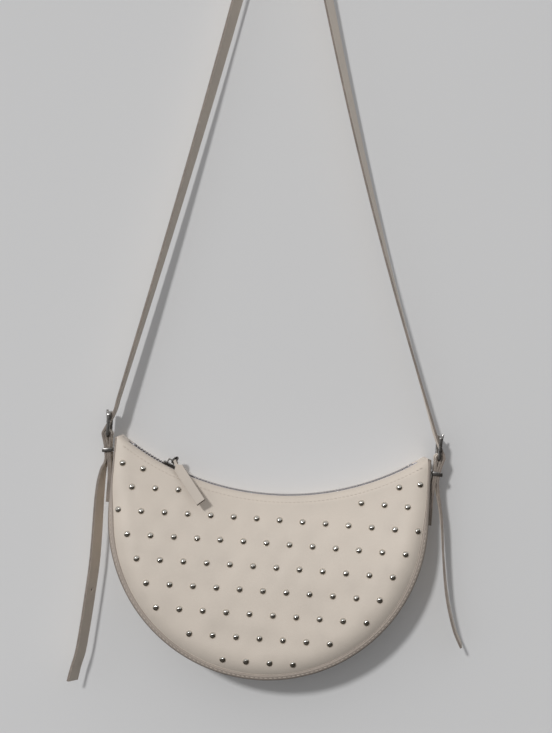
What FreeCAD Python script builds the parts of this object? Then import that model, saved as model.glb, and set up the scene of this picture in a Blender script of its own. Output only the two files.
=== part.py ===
import FreeCAD, Part
import math
import os
from FreeCAD import Placement, Rotation, Vector

# Half moon shoulder bag, hanging from the middle of its strap.
# Millimetres and degrees. The bag is drawn upright about the line between its two tips:
# X to the wearer's right in the front view, Y towards the back, Z up.
# hang() then carries every piece into the frame of the hanging bag, whose origin is the
# underside of the strap where it lies over a peg.

# Outline, seen from the front
SEAM_RADIUS = 135.0
SIDE_HEIGHT = 60.0
FLANGE_WIDTH = 5.0
ZIP_RADIUS = 234.0
TIP_SINK = 0.53
TIP_RADIUS = 4.0

# Depth: both panels roll in to the zip, the front leans out as it goes down, the back is flat
TIP_DEPTH = 16.5
FRONT_LEAN = 14.5
FRONT_CROWN = 950.0
ROLL_RADIUS = 9.0
ROLL_END = 176.5
ROLL_FACETS = 2
CROWN_FACETS = 2
GROOVE = 3.0
SEAM_SETBACK = 0.5
LEATHER = 1.6
PLY_GAP = 0.1

# Gusset: a strip between the panels, with both edges turned out under the panels' edges
GUSSET_BULGE = 6.0
GUSSET_SHOULDER = 7.0
GUSSET_SLOPE = 2.0
GUSSET_TURN_IN = 0.2
GUSSET_GAP = 0.25
GUSSET_TOP = 2.5
GUSSET_TAPER = 12.0
GUSSET_TOP_HALF = 6.5
GUSSET_SIDE_SHARES = (0.0, 0.08, 0.25, 0.5)
GUSSET_STEPS = 16

# Lining
LINING = 0.5
LINING_GAP = 0.4
TAPE_GAP = 0.5

# Studs, in staggered rows: the zip leaves the middle of the first rows open, by half pitches each way
STUD_WIDTH = 5.0
STUD_HEIGHT = 1.7
STUD_PITCH = 20.1
STUD_ROW_PITCH = 19.9
STUD_TOP_ROW = 23.7
STUD_ZIP_CLEAR = 11.5
STUD_SIDE_CLEAR = 1.2
STUD_BOTTOM_CLEAR = 3.5
STUD_SIDES = 6
STUD_ROW_OPEN = (11, 8)

# Zip: the two rows of teeth are meshed on one side of the slider and stand open on the other
CHAIN_SINK = 0.6
CHAIN_INSET = 13.1
TAPE_INSET = 6.0
TAPE = 0.6
TAPE_SHELF = 6.2
TAPE_HEM_ANGLE = 118.0
TOOTH_PITCH = 2.8
TOOTH_LENGTH = 1.2
TOOTH_HEIGHT = 2.6
TOOTH_ROOT = 2.6
TOOTH_REACH = 0.9
TOOTH_NECK = 0.84
TOOTH_SEAT = 0.05
OPEN_STEP = 1.8
STOP_LENGTH = 3.0

# Slider, puller ring and leather pull
SLIDER_OPEN = 34.0
SLIDER_LENGTH = 12.0
SLIDER_PLATE = 1.1
SLIDER_WALL = 1.0
SLIDER_CLEAR = 0.3
SLIDER_SLOT = 1.5
WEDGE_LENGTH = 4.5
WEDGE_HALF = 0.7
BRIDGE_LENGTH = 6.8
BRIDGE_WIDTH = 2.0
BRIDGE_HOLE = 3.0
BRIDGE_WALL = 1.1
RING_RADIUS = 3.7
RING_WIRE = 1.2
RING_RISE = 64.0
RING_TWIST = 30.0
RING_SIDES = 12
RING_FACETS = 6
PULL_LENGTH = 54.0
PULL_LEAD = 9.0
PULL_WIDTH = 8.6
PULL_NECK = 2.6
PULL_SHOULDER = 7.0
PULL_LEATHER = 1.1
PULL_LEAD_TILT = 80.0
PULL_TILT = 30.0
PULL_SLACK = 0.4
EYE_SHARE = 0.7

# Strap, buckles, tabs and keepers
STRAP_WIDTH = 15.0
STRAP_THICK = 2.0
STRAP_GAP = 0.35
STRAP_FRAME_GAP = 1.0
STRAP_HOLE = 2.0
STRAP_HOLE_RISE = 79.0
TAB_LEATHER = 1.7
TAB_SLACK = 0.2
TAB_FOOT = 60.0
TAB_FREE = 34.0
TAB_CLOSE = 10.0
TAB_FACETS = 6
BAR_OUT = 12.0
BAR_RADIUS = 1.4
FRAME_HEIGHT = 18.6
FRAME_WALL = 2.6
FRAME_THICK = 2.8
FRAME_CORNER = 3.0
FRAME_SIDE_GAP = 1.0
PRONG_RADIUS = 1.1
PRONG_SIDES = 8
PRONG_EYE_WALL = 1.5
PRONG_EYE_WIDTH = 2.4
PRONG_BORE_GAP = 0.06
PRONG_REST_GAP = 0.15
PRONG_SWING = 5.0
PRONG_SLOT_GAP = 0.5
KEEPER_DROP = 14.0
KEEPER_HEIGHT = 3.5
KEEPER_WALL = 1.3
KEEPER_GAP = 0.35
PEG_RADIUS = 8.0
PEG_TURN = -40.0

# How the bag hangs below the peg
HANG_TILT = 4.2
HANG_SHIFT = -12.9
HANG_DROP = 544.0

# Free ends of the strap below the keepers: outward and downward from the keeper, then the turn of its face
TAIL_LEFT = (
    (4.0, 19.0, -12.0),
    (7.0, 42.0, -30.0),
    (12.5, 134.5, -38.0),
    (16.5, 161.0, -38.0),
    (27.5, 206.0, -40.0),
)
TAIL_RIGHT = (
    (0.5, 41.0, -4.0),
    (3.0, 77.0, -8.0),
    (5.0, 111.0, -10.0),
    (12.0, 139.0, -10.0),
    (18.0, 154.0, -10.0),
)
TAIL_STEPS = 11
ARM_STEPS = 6
BEND_STEPS = 6

# How far the drawn skins run past the outline before they are cut to it
SWEEP_RUN = 2.0
SKIN_RUN = 5.0

# Places that follow from the sizes above
AXIS_Z = math.sqrt(ZIP_RADIUS ** 2 - SEAM_RADIUS ** 2) - TIP_SINK
AXIS = Vector(0, 0, AXIS_Z)
TOWARDS_RIGHT = Vector(0, -1, 0)
RIGHT_ANGLE = 90.0
RIM_RADIUS = SEAM_RADIUS + FLANGE_WIDTH
STEP_RADIUS = SEAM_RADIUS - SEAM_SETBACK
FAR = AXIS_Z + SIDE_HEIGHT + RIM_RADIUS + SKIN_RUN
ROLL_RHO = ZIP_RADIUS - ROLL_RADIUS * math.cos(math.radians(ROLL_END))
SWEEP_HALF = math.degrees(math.asin(RIM_RADIUS / ZIP_RADIUS)) + SWEEP_RUN
CHAIN_RADIUS = ZIP_RADIUS + CHAIN_SINK
CHAIN_ANGLE = math.degrees(math.asin((SEAM_RADIUS - CHAIN_INSET) / CHAIN_RADIUS))
TAPE_ANGLE = math.degrees(math.asin((SEAM_RADIUS - TAPE_INSET) / CHAIN_RADIUS))
SLIDER_ANGLE = math.degrees(SLIDER_OPEN / CHAIN_RADIUS) - CHAIN_ANGLE
BAR_X = SEAM_RADIUS + BAR_OUT
HANG = Placement(Vector(HANG_SHIFT, 0, -HANG_DROP), Rotation(Vector(0, 1, 0), HANG_TILT))


def sin(angle):
    return math.sin(math.radians(angle))


def cos(angle):
    return math.cos(math.radians(angle))


def hang(shape):
    placed = shape.copy()
    placed.Placement = HANG.multiply(placed.Placement)
    return placed


def save(name, shape):
    hang(shape).exportStep("parts/" + name + ".step")


def polygon(points):
    return Part.makePolygon(list(points) + [points[0]])


def prism(points, along):
    return Part.Face(polygon(points)).extrude(along)


def arc(first, middle, last):
    return Part.Arc(first, middle, last).toShape()


def line(first, last):
    return Part.LineSegment(first, last).toShape()


# Surfaces about the zip axis: rho is the distance below that axis, depth the distance from the middle plane

def roll_depth(lean):
    return TIP_DEPTH - ROLL_RADIUS * cos(lean)


def crown_centre():
    reach = FRONT_CROWN - ROLL_RADIUS
    return ROLL_RHO + reach * sin(FRONT_LEAN), roll_depth(FRONT_LEAN) - reach * cos(FRONT_LEAN)


def round_points(centre, radius, first, last, count):
    """Corners of an even row of facets along an arc."""
    angles = [first + (last - first) * step / count for step in range(count + 1)]
    return [(centre[0] + radius * cos(angle), centre[1] + radius * sin(angle)) for angle in angles]


def front_line(inset=0.0):
    """Section of the front, set in by a distance square to it: round the roll, then down the crown."""
    tangent = RIGHT_ANGLE + FRONT_LEAN
    roll = (ROLL_RHO, roll_depth(FRONT_LEAN))
    centre = crown_centre()
    radius = FRONT_CROWN - inset
    last = math.degrees(math.acos((FAR - centre[0]) / radius))
    points = round_points(roll, ROLL_RADIUS - inset, ROLL_END, tangent, ROLL_FACETS)
    return points + round_points(centre, radius, tangent, last, CROWN_FACETS)[1:]


def back_line(inset=0.0):
    roll = (ROLL_RHO, roll_depth(0.0))
    points = round_points(roll, ROLL_RADIUS - inset, ROLL_END, RIGHT_ANGLE, ROLL_FACETS)
    return points + [(FAR, TIP_DEPTH - inset)]


def facet_at(points, rho):
    """The facet of a section line that this distance falls on."""
    last = len(points) - 1
    index = next((i for i in range(1, last) if rho < points[i][0]), last)
    return points[index - 1], points[index]


def depth_at(points, rho):
    first, last = facet_at(points, rho)
    return first[1] + (last[1] - first[1]) * (rho - first[0]) / (last[0] - first[0])


def lower_part(points, start):
    return [(start, depth_at(points, start))] + [point for point in points if point[0] > start]


def section_point(rho, depth, side):
    return Vector(0, side * depth, AXIS_Z - rho)


def turn(face, first=-SWEEP_HALF, last=SWEEP_HALF):
    """Sweeps a section about the zip axis, from one angle to another, to the right."""
    start = face.copy()
    start.rotate(AXIS, TOWARDS_RIGHT, first)
    return start.revolve(AXIS, TOWARDS_RIGHT, last - first)


def skin(outer, inner, side, inner_side=None):
    """Sweeps the space between two section lines about the zip axis."""
    corners = [section_point(rho, depth, side) for rho, depth in outer]
    corners += [section_point(rho, depth, inner_side or side) for rho, depth in reversed(inner)]
    return turn(Part.Face(polygon(corners)))


def front_skin(inset, thickness):
    return skin(front_line(inset), front_line(inset + thickness), -1)


def back_skin(inset, thickness):
    return skin(back_line(inset), back_line(inset + thickness), 1)


def outline(radius):
    """Everything within a half moon's lower outline of this radius, with straight sides above."""
    top = TIP_DEPTH + SKIN_RUN
    right = Vector(radius, -FAR, -SIDE_HEIGHT)
    left = Vector(-radius, -FAR, -SIDE_HEIGHT)
    right_top = Vector(radius, -FAR, top)
    left_top = Vector(-radius, -FAR, top)
    bottom = Vector(0, -FAR, -SIDE_HEIGHT - radius)
    edges = [line(right_top, right), arc(right, bottom, left), line(left, left_top)]
    edges.append(line(left_top, right_top))
    return Part.Face(Part.Wire(edges)).extrude(Vector(0, 2 * FAR, 0))


def tip_cutters():
    """The corners outside the rounded tips."""
    centre_x = RIM_RADIUS - TIP_RADIUS
    centre_rho = ZIP_RADIUS + TIP_RADIUS
    centre_z = AXIS_Z - math.sqrt(centre_rho ** 2 - centre_x ** 2)
    share = ZIP_RADIUS / centre_rho
    on_arc = Vector(centre_x * share, 0, AXIS_Z + (centre_z - AXIS_Z) * share)
    outer = Vector(RIM_RADIUS + TIP_RADIUS, 0, centre_z)
    corner = Vector(RIM_RADIUS + TIP_RADIUS, 0, centre_z + 4 * TIP_RADIUS)
    centre = Vector(centre_x, 0, centre_z)
    wedge = prism([centre, outer, corner, on_arc], Vector(0, 2 * FAR, 0))
    wedge.translate(Vector(0, -FAR, 0))
    rod = Part.makeCylinder(TIP_RADIUS, 2 * FAR, centre - Vector(0, FAR, 0), Vector(0, 1, 0))
    right = wedge.cut(rod)
    return [right, right.mirror(Vector(), Vector(1, 0, 0))]


def front_panel():
    """Crowned face, a step down at the seam, and the turned-out edge beyond it."""
    inner = outline(STEP_RADIUS - LEATHER)
    step = outline(STEP_RADIUS)
    face = front_skin(0.0, LEATHER).common(step)
    wall = front_skin(0.0, GROOVE + LEATHER).common(step.cut(inner))
    edge = front_skin(GROOVE, LEATHER).common(outline(RIM_RADIUS).cut(inner))
    return face.fuse([wall, edge]).cut(tip_cutters()).removeSplitter()


def back_panel():
    return back_skin(0.0, LEATHER).common(outline(RIM_RADIUS)).cut(tip_cutters())


def gusset_point(base, normal, out, edge, inward):
    """A point of the gusset's section: out from the seam, and inward from its front or back edge."""
    place = base + normal * out
    rho = math.hypot(place.x, AXIS_Z - place.z)
    front = -depth_at(front_line(GROOVE + LEATHER + GUSSET_GAP), rho)
    back = depth_at(back_line(LEATHER + GUSSET_GAP), rho)
    rise = (place.z + GUSSET_TAPER) / (GUSSET_TAPER - GUSSET_TOP)
    share = min(max(rise, 0.0), 1.0)
    front = front + share * (-GUSSET_TOP_HALF - front)
    back = back + share * (GUSSET_TOP_HALF - back)
    narrow = 1 - share * (1 - GUSSET_TOP_HALF / TIP_DEPTH)
    place.y = front + inward * narrow if edge == "front" else back - inward * narrow
    return place


def gusset_section(base, normal):
    ply = LEATHER
    root = LEATHER - GUSSET_TURN_IN
    knee = GUSSET_SHOULDER / 2
    bend = GUSSET_BULGE - GUSSET_SLOPE
    outside = (
        (FLANGE_WIDTH, ply),
        (root, ply),
        (bend, ply + knee - ply / 2),
        (GUSSET_BULGE, GUSSET_SHOULDER),
    )
    inside = (
        (GUSSET_BULGE - ply, GUSSET_SHOULDER + ply / 2),
        (bend - ply, ply + knee),
        (root - ply, 0.0),
        (FLANGE_WIDTH, 0.0),
    )
    points = [gusset_point(base, normal, out, "front", inward) for out, inward in outside]
    points += [gusset_point(base, normal, out, "back", inward) for out, inward in reversed(outside)]
    points += [gusset_point(base, normal, out, "back", inward) for out, inward in reversed(inside)]
    points += [gusset_point(base, normal, out, "front", inward) for out, inward in inside]
    return polygon(points)


def gusset():
    straight = SIDE_HEIGHT - GUSSET_TAPER
    heights = [GUSSET_TOP] + [GUSSET_TAPER + straight * share for share in GUSSET_SIDE_SHARES]
    right = [gusset_section(Vector(SEAM_RADIUS, 0, -z), Vector(1, 0, 0)) for z in heights]
    left = [gusset_section(Vector(-SEAM_RADIUS, 0, -z), Vector(-1, 0, 0)) for z in reversed(heights)]
    bottom = []
    for step in range(GUSSET_STEPS + 1):
        angle = -2 * RIGHT_ANGLE * step / GUSSET_STEPS
        normal = Vector(cos(angle), 0, sin(angle))
        bottom.append(gusset_section(Vector(0, 0, -SIDE_HEIGHT) + normal * SEAM_RADIUS, normal))
    return Part.makeLoft(right + bottom + left, True, True)


def lining_start():
    return ROLL_RHO + LEATHER


def front_lining():
    inset = LEATHER + LINING_GAP
    faces = [lower_part(front_line(depth), lining_start()) for depth in (inset, inset + LINING)]
    return skin(*faces, -1).common(outline(lining_radius()))


def back_lining():
    inset = LEATHER + LINING_GAP
    faces = [lower_part(back_line(depth), lining_start()) for depth in (inset, inset + LINING)]
    return skin(*faces, 1).common(outline(lining_radius()))


def lining_radius():
    return STEP_RADIUS - LEATHER - LINING_GAP


def gusset_lining():
    """A strip round the inside, between the front and back linings."""
    inset = LEATHER + LINING_GAP + LINING + PLY_GAP
    front = lower_part(front_line(inset), lining_start())
    back = lower_part(back_line(inset), lining_start())
    radius = lining_radius()
    return skin(front, back, -1, 1).common(outline(radius).cut(outline(radius - LINING)))


def even_ring(radius, sides, height=0.0):
    """Corners of a regular polygon about the Z axis."""
    angles = [4 * RIGHT_ANGLE * step / sides for step in range(sides)]
    return [Vector(radius * cos(angle), radius * sin(angle), height) for angle in angles]


def stud():
    """A low dome of flat facets standing on its base, along +Z."""
    half = STUD_WIDTH / 2
    radius = (half ** 2 + STUD_HEIGHT ** 2) / (2 * STUD_HEIGHT)
    part_way = math.asin(half / radius) / 2
    rise = STUD_HEIGHT - radius * (1 - math.cos(part_way))
    low = even_ring(half, STUD_SIDES)
    high = even_ring(radius * math.sin(part_way), STUD_SIDES, rise)
    top = Vector(0, 0, STUD_HEIGHT)
    faces = [Part.Face(polygon(low))]
    for side in range(STUD_SIDES):
        faces.append(Part.Face(polygon([low[side - 1], low[side], high[side], high[side - 1]])))
        faces.append(Part.Face(polygon([high[side - 1], high[side], top])))
    return Part.makeSolid(Part.makeShell(faces))


def within_seam(spot):
    """Whether a stud here lies on the panel, clear of its seam."""
    half = STUD_WIDTH / 2
    if abs(spot.x) + half + STUD_SIDE_CLEAR > STEP_RADIUS:
        return False
    bottom = -SIDE_HEIGHT - math.sqrt(STEP_RADIUS ** 2 - spot.x ** 2)
    return spot.z - half - STUD_BOTTOM_CLEAR > bottom


def stud_places():
    rows = int((SIDE_HEIGHT + STEP_RADIUS - STUD_TOP_ROW) / STUD_ROW_PITCH) + 1
    most = int(2 * STEP_RADIUS / STUD_PITCH)
    least = ZIP_RADIUS + STUD_ZIP_CLEAR
    for row in range(rows):
        open_middle = STUD_ROW_OPEN[row] if row < len(STUD_ROW_OPEN) else 0
        for half_pitches in range(-most, most + 1):
            if (half_pitches + row) % 2 == 0 or abs(half_pitches) < open_middle:
                continue
            spot = Vector(half_pitches * STUD_PITCH / 2, 0, -STUD_TOP_ROW - row * STUD_ROW_PITCH)
            rho = (spot - AXIS).Length
            if rho < least:
                spot = AXIS + (spot - AXIS) * (least / rho)
            if within_seam(spot):
                yield spot


def studs():
    dome = stud()
    placed = []
    for spot in stud_places():
        below = spot - AXIS
        rho = below.Length
        first, last = facet_at(front_line(), rho)
        slope = (last[1] - first[1]) / (last[0] - first[0])
        normal = below * (-slope / rho) - Vector(0, 1, 0)
        normal.normalize()
        copy = dome.copy()
        seat = Vector(spot.x, -depth_at(front_line(), rho), spot.z) + normal * PLY_GAP / 2
        copy.Placement = Placement(seat, Rotation(Vector(0, 0, 1), normal))
        placed.append(copy)
    return Part.makeCompound(placed)


def ribbon(points, thickness):
    """A closed section of even thickness along a bent line in (rho, depth)."""
    sides = ([], [])
    for index, (rho, depth) in enumerate(points):
        before = points[max(index - 1, 0)]
        after = points[min(index + 1, len(points) - 1)]
        length = math.hypot(after[0] - before[0], after[1] - before[1])
        across = ((before[1] - after[1]) / length, (after[0] - before[0]) / length)
        for side, sign in zip(sides, (1, -1)):
            side.append((rho + sign * across[0] * thickness / 2, depth + sign * across[1] * thickness / 2))
    return sides[0] + sides[1][::-1]


def tape_section(inner_edge, lean, side):
    """Tape from the teeth, across the mouth and under the panel's rolled edge, where it is sewn."""
    radius = ROLL_RADIUS - LEATHER - TAPE_GAP - TAPE / 2
    centre = (ROLL_RHO, roll_depth(lean))
    line_points = [(CHAIN_RADIUS, inner_edge), (CHAIN_RADIUS, TAPE_SHELF)]
    for angle in (ROLL_END, TAPE_HEM_ANGLE):
        line_points.append((centre[0] + radius * cos(angle), centre[1] + radius * sin(angle)))
    return polygon([section_point(rho, depth, side) for rho, depth in ribbon(line_points, TAPE)])


def slider_span():
    return math.degrees(SLIDER_LENGTH / CHAIN_RADIUS)


def parting():
    """Inside the slider the rows part: fully open at the first angle, meshed at the second."""
    return SLIDER_ANGLE - slider_span() / 3, SLIDER_ANGLE + slider_span() / 6


def zip_tape(side):
    """Left of the slider the tape's edge stands back with its open row of teeth."""
    lean = FRONT_LEAN if side < 0 else 0.0
    edge = TOOTH_ROOT + TOOTH_SEAT
    half_tooth = math.degrees(TOOTH_LENGTH / 2 / CHAIN_RADIUS)
    open_end, shut_end = [angle + half_tooth for angle in parting()]
    closed = tape_section(edge, lean, side)
    parted = tape_section(edge + OPEN_STEP, lean, side)
    right = turn(Part.Face(closed), shut_end, TAPE_ANGLE)
    left = turn(Part.Face(parted), -TAPE_ANGLE, open_end)
    ends = []
    for section, angle in ((parted, open_end), (closed, shut_end)):
        end = section.copy()
        end.rotate(AXIS, TOWARDS_RIGHT, angle)
        ends.append(end)
    return right.fuse([left, Part.makeLoft(ends, True, True)])


def row_opening(angle):
    """How far one row of teeth stands aside at this angle: closed to the right of the slider."""
    open_end, shut_end = parting()
    share = (shut_end - angle) / (shut_end - open_end)
    return OPEN_STEP * min(max(share, 0.0), 1.0)


def tooth(angle, side):
    """A cast tooth, wider at its head, set on the edge of the tape."""
    aside = row_opening(angle)
    head = TOOTH_LENGTH / 2
    neck = head * TOOTH_NECK
    half = TOOTH_HEIGHT / 2
    edge = [(neck, -TOOTH_ROOT), (head, TOOTH_REACH)]
    plan = edge + [(-along, across) for along, across in reversed(edge)]
    base = -CHAIN_RADIUS - half
    points = [Vector(along, side * (aside - across), base) for along, across in plan]
    piece = prism(points, Vector(0, 0, TOOTH_HEIGHT))
    piece.rotate(Vector(), TOWARDS_RIGHT, angle)
    piece.translate(AXIS)
    return piece


def zip_teeth(side):
    step = math.degrees(TOOTH_PITCH / CHAIN_RADIUS)
    count = int(2 * CHAIN_ANGLE / step)
    shift = 0.0 if side < 0 else 0.5
    first = -step * (count - 1) / 2 - step / 4
    return Part.makeCompound([tooth(first + step * (index + shift), side) for index in range(count)])


def stop_block(inner, outer, angle):
    """A clamped stop across the end of a row of teeth, centred at this angle."""
    corner = Vector(-STOP_LENGTH / 2, inner, -CHAIN_RADIUS - TOOTH_HEIGHT / 2)
    block = Part.makeBox(STOP_LENGTH, outer - inner, TOOTH_HEIGHT, corner)
    block.rotate(Vector(), TOWARDS_RIGHT, angle)
    block.translate(AXIS)
    return block


def stop_angle():
    return CHAIN_ANGLE + math.degrees((STOP_LENGTH + TOOTH_LENGTH) / 2 / CHAIN_RADIUS)


def zip_top_stops():
    inner = OPEN_STEP - TOOTH_REACH / 2
    outer = OPEN_STEP + TOOTH_ROOT
    back = stop_block(inner, outer, -stop_angle())
    return Part.makeCompound([back, stop_block(-outer, -inner, -stop_angle())])


def zip_bottom_stop():
    return stop_block(-TOOTH_ROOT, TOOTH_ROOT, stop_angle())


# The slider is drawn at the lowest point of the zip, with its chain along X, then turned to its place

def on_chain(shape):
    placed = shape.copy()
    placed.translate(Vector(0, 0, -CHAIN_RADIUS))
    placed.rotate(Vector(), TOWARDS_RIGHT, SLIDER_ANGLE)
    placed.translate(AXIS)
    return placed


def slider_plan(margin, end):
    """Plan of the slider, wide where the rows stand open: (along the chain, across)."""
    narrow = TOOTH_ROOT + SLIDER_CLEAR + margin
    wide = narrow + OPEN_STEP
    shoulder = SLIDER_LENGTH / 3
    waist = SLIDER_LENGTH / 6 + SLIDER_CLEAR
    upper = [(-end, wide), (-shoulder, wide), (waist, narrow), (end, narrow)]
    return upper + [(along, -across) for along, across in reversed(upper)]


def slab(plan, low, high):
    return prism([Vector(along, across, low) for along, across in plan], Vector(0, 0, high - low))


def bridge_level():
    return TOOTH_HEIGHT / 2 + SLIDER_CLEAR + SLIDER_PLATE


def slider_body():
    inside = TOOTH_HEIGHT / 2 + SLIDER_CLEAR
    top = inside + SLIDER_PLATE
    end = SLIDER_LENGTH / 2
    outer = slider_plan(SLIDER_WALL, end)
    cavity = slab(slider_plan(0.0, SLIDER_LENGTH), -inside, inside)
    slot = Part.makeBox(2 * SLIDER_LENGTH, 4 * SLIDER_LENGTH, SLIDER_SLOT)
    slot.translate(Vector(-SLIDER_LENGTH, -2 * SLIDER_LENGTH, -SLIDER_SLOT / 2))
    wedge = slab([(-end, WEDGE_HALF), (-end, -WEDGE_HALF), (WEDGE_LENGTH - end, 0.0)], -inside, inside)
    body = slab(outer, -top, top).cut([cavity, slot]).fuse(wedge)
    half = BRIDGE_LENGTH / 2
    arch = Part.makeBox(BRIDGE_LENGTH, BRIDGE_WIDTH, BRIDGE_HOLE + BRIDGE_WALL)
    arch.translate(Vector(-half, -BRIDGE_WIDTH / 2, top))
    hole = Part.makeBox(BRIDGE_LENGTH - 2 * BRIDGE_WALL, BRIDGE_WIDTH, BRIDGE_HOLE)
    hole.translate(Vector(BRIDGE_WALL - half, -BRIDGE_WIDTH / 2, top))
    return on_chain(body.fuse(arch.cut(hole)).removeSplitter())


def ring_hinge():
    """Where the ring's wire crosses the bridge."""
    return Vector(RING_WIRE / 2, 0, bridge_level() + BRIDGE_HOLE / 2)


def ring_axis():
    """From the hinge to the ring's middle."""
    return Vector(cos(RING_RISE), 0, sin(RING_RISE))


def pull_drop():
    return Vector(sin(RING_RISE), 0, -cos(RING_RISE))


def ring_across():
    """Square to the ring's axis in its plane, which is twisted a little out of the slider's."""
    return pull_drop() * sin(RING_TWIST) - Vector(0, cos(RING_TWIST), 0)


def ring_centre():
    return ring_hinge() + ring_axis() * RING_RADIUS


def puller_ring():
    """A round wire ring through the bridge."""
    normal = ring_axis().cross(ring_across())
    sections = []
    for step in range(RING_SIDES):
        angle = 360.0 * step / RING_SIDES
        out = ring_axis() * cos(angle) + ring_across() * sin(angle)
        corners = []
        for facet in range(RING_FACETS):
            round_wire = 360.0 * facet / RING_FACETS
            wire = out * cos(round_wire) + normal * sin(round_wire)
            corners.append(out * RING_RADIUS + wire * (RING_WIRE / 2))
        sections.append(polygon([ring_centre() + corner for corner in corners]))
    return on_chain(Part.makeLoft(sections, True, True, True))


def pull_fold():
    """Where the pull is folded over the front of the ring."""
    return ring_centre() + ring_across() * RING_RADIUS


def pull_way(tilt):
    """Way along the pull, and the way out of its face, tilted out from the front of the bag."""
    out = Vector(0, -1, 0)
    return pull_drop() * cos(tilt) + out * sin(tilt), out * cos(tilt) - pull_drop() * sin(tilt)


def pull_tab():
    """A strip with a narrow neck folded over the ring and bent over the bag's edge, sewn in two layers."""
    lead, lead_face = pull_way(PULL_LEAD_TILT)
    down, face = pull_way(PULL_TILT)
    fold = pull_fold()
    bend = fold + lead * PULL_LEAD
    end = bend + down * (PULL_LENGTH - PULL_LEAD)
    bisector = (lead_face + face) * (1 / (1 + lead_face.dot(face)))
    inner = RING_WIRE / 2 + PULL_SLACK
    outer = inner + PULL_LEATHER
    closed = fold + lead * PULL_SHOULDER
    offsets = ((fold, lead_face * outer), (closed, lead_face * PULL_LEATHER), (bend, bisector * PULL_LEATHER))
    front = [place + offset for place, offset in offsets] + [end + face * PULL_LEATHER]
    behind = [place - offset for place, offset in offsets] + [end - face * PULL_LEATHER]
    corners = front + behind[::-1]
    edges = [line(first, last) for first, last in zip(corners, corners[1:])]
    edges.append(arc(corners[-1], fold - lead * outer, corners[0]))
    tail = fold + lead * (PULL_SHOULDER * EYE_SHARE)
    hole = [
        arc(fold - lead_face * inner, fold - lead * inner, fold + lead_face * inner),
        line(fold + lead_face * inner, tail),
        line(tail, fold - lead_face * inner),
    ]
    width = ring_axis() * PULL_WIDTH
    layers = Part.Face(Part.Wire(edges)).extrude(width)
    layers.translate(width * -0.5)
    eye = Part.Face(Part.Wire(hole)).extrude(width)
    eye.translate(width * -0.5)
    cutters = [eye]
    for aside in (ring_axis(), ring_axis() * -1):
        start = fold - lead_face * (2 * outer)
        neck = [
            start - lead * (2 * outer) + aside * (PULL_NECK / 2),
            start + lead * outer + aside * (PULL_NECK / 2),
            start + lead * PULL_SHOULDER + aside * (PULL_WIDTH / 2),
            start - lead * (2 * outer) + aside * (PULL_WIDTH / 2),
        ]
        cutters.append(prism(neck, lead_face * (4 * outer)))
    return on_chain(layers.cut(cutters))


# Strap ends, drawn on the right and mirrored for the left

BAR = Vector(BAR_X, 0, 0)
TAB_FOOT_X = SEAM_RADIUS + GUSSET_BULGE + PLY_GAP + TAB_LEATHER
TAB_KNEE = Vector(TAB_FOOT_X, 0, -TAB_FREE)
TAB_DOWN = (TAB_KNEE - BAR) * (1.0 / (TAB_KNEE - BAR).Length)
TAB_OUT = Vector(-TAB_DOWN.z, 0, TAB_DOWN.x)
LOOP_RADIUS = BAR_RADIUS + TAB_SLACK + TAB_LEATHER


def on_tab(along, out):
    return BAR + TAB_DOWN * along + TAB_OUT * out


def mirrored(shape, side):
    return shape if side > 0 else shape.mirror(Vector(), Vector(1, 0, 0))


def across(wire, width):
    solid = Part.Face(wire).extrude(Vector(0, width, 0))
    solid.translate(Vector(0, -width / 2, 0))
    return solid


def fold_points(radius):
    """Corners of the fold round the bar, from its inner side to its outer one."""
    angles = [2 * RIGHT_ANGLE * step / TAB_FACETS for step in range(TAB_FACETS + 1)]
    return [on_tab(-radius * sin(angle), -radius * cos(angle)) for angle in angles]


def tab(side):
    """A strip folded over the buckle's bar, both layers sewn to the gusset below."""
    inner = BAR_RADIUS + TAB_SLACK
    eye = TAB_CLOSE * EYE_SHARE
    foot_out = Vector(TAB_FOOT_X + TAB_LEATHER, 0, -TAB_FOOT)
    foot_in = Vector(TAB_FOOT_X - TAB_LEATHER, 0, -TAB_FOOT)
    knee_out = Vector(TAB_FOOT_X + TAB_LEATHER, 0, -TAB_FREE)
    knee_in = Vector(TAB_FOOT_X - TAB_LEATHER, 0, -TAB_FREE)
    corners = fold_points(LOOP_RADIUS) + [on_tab(TAB_CLOSE, TAB_LEATHER), knee_out, foot_out]
    corners += [foot_in, knee_in, on_tab(TAB_CLOSE, -TAB_LEATHER)]
    hole = fold_points(inner) + [on_tab(eye, 0)]
    eye_radius = BAR_RADIUS + PRONG_EYE_WALL + PRONG_SLOT_GAP
    slot_width = PRONG_EYE_WIDTH + 2 * PRONG_SLOT_GAP
    slot = Part.makeBox(4 * eye_radius, slot_width, 3 * eye_radius)
    slot.translate(BAR - Vector(2 * eye_radius, slot_width / 2, eye_radius))
    solid = across(polygon(corners), STRAP_WIDTH).cut([across(polygon(hole), STRAP_WIDTH), slot])
    return mirrored(solid, side)


def frame_window():
    return STRAP_WIDTH / 2 + FRAME_SIDE_GAP


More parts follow.
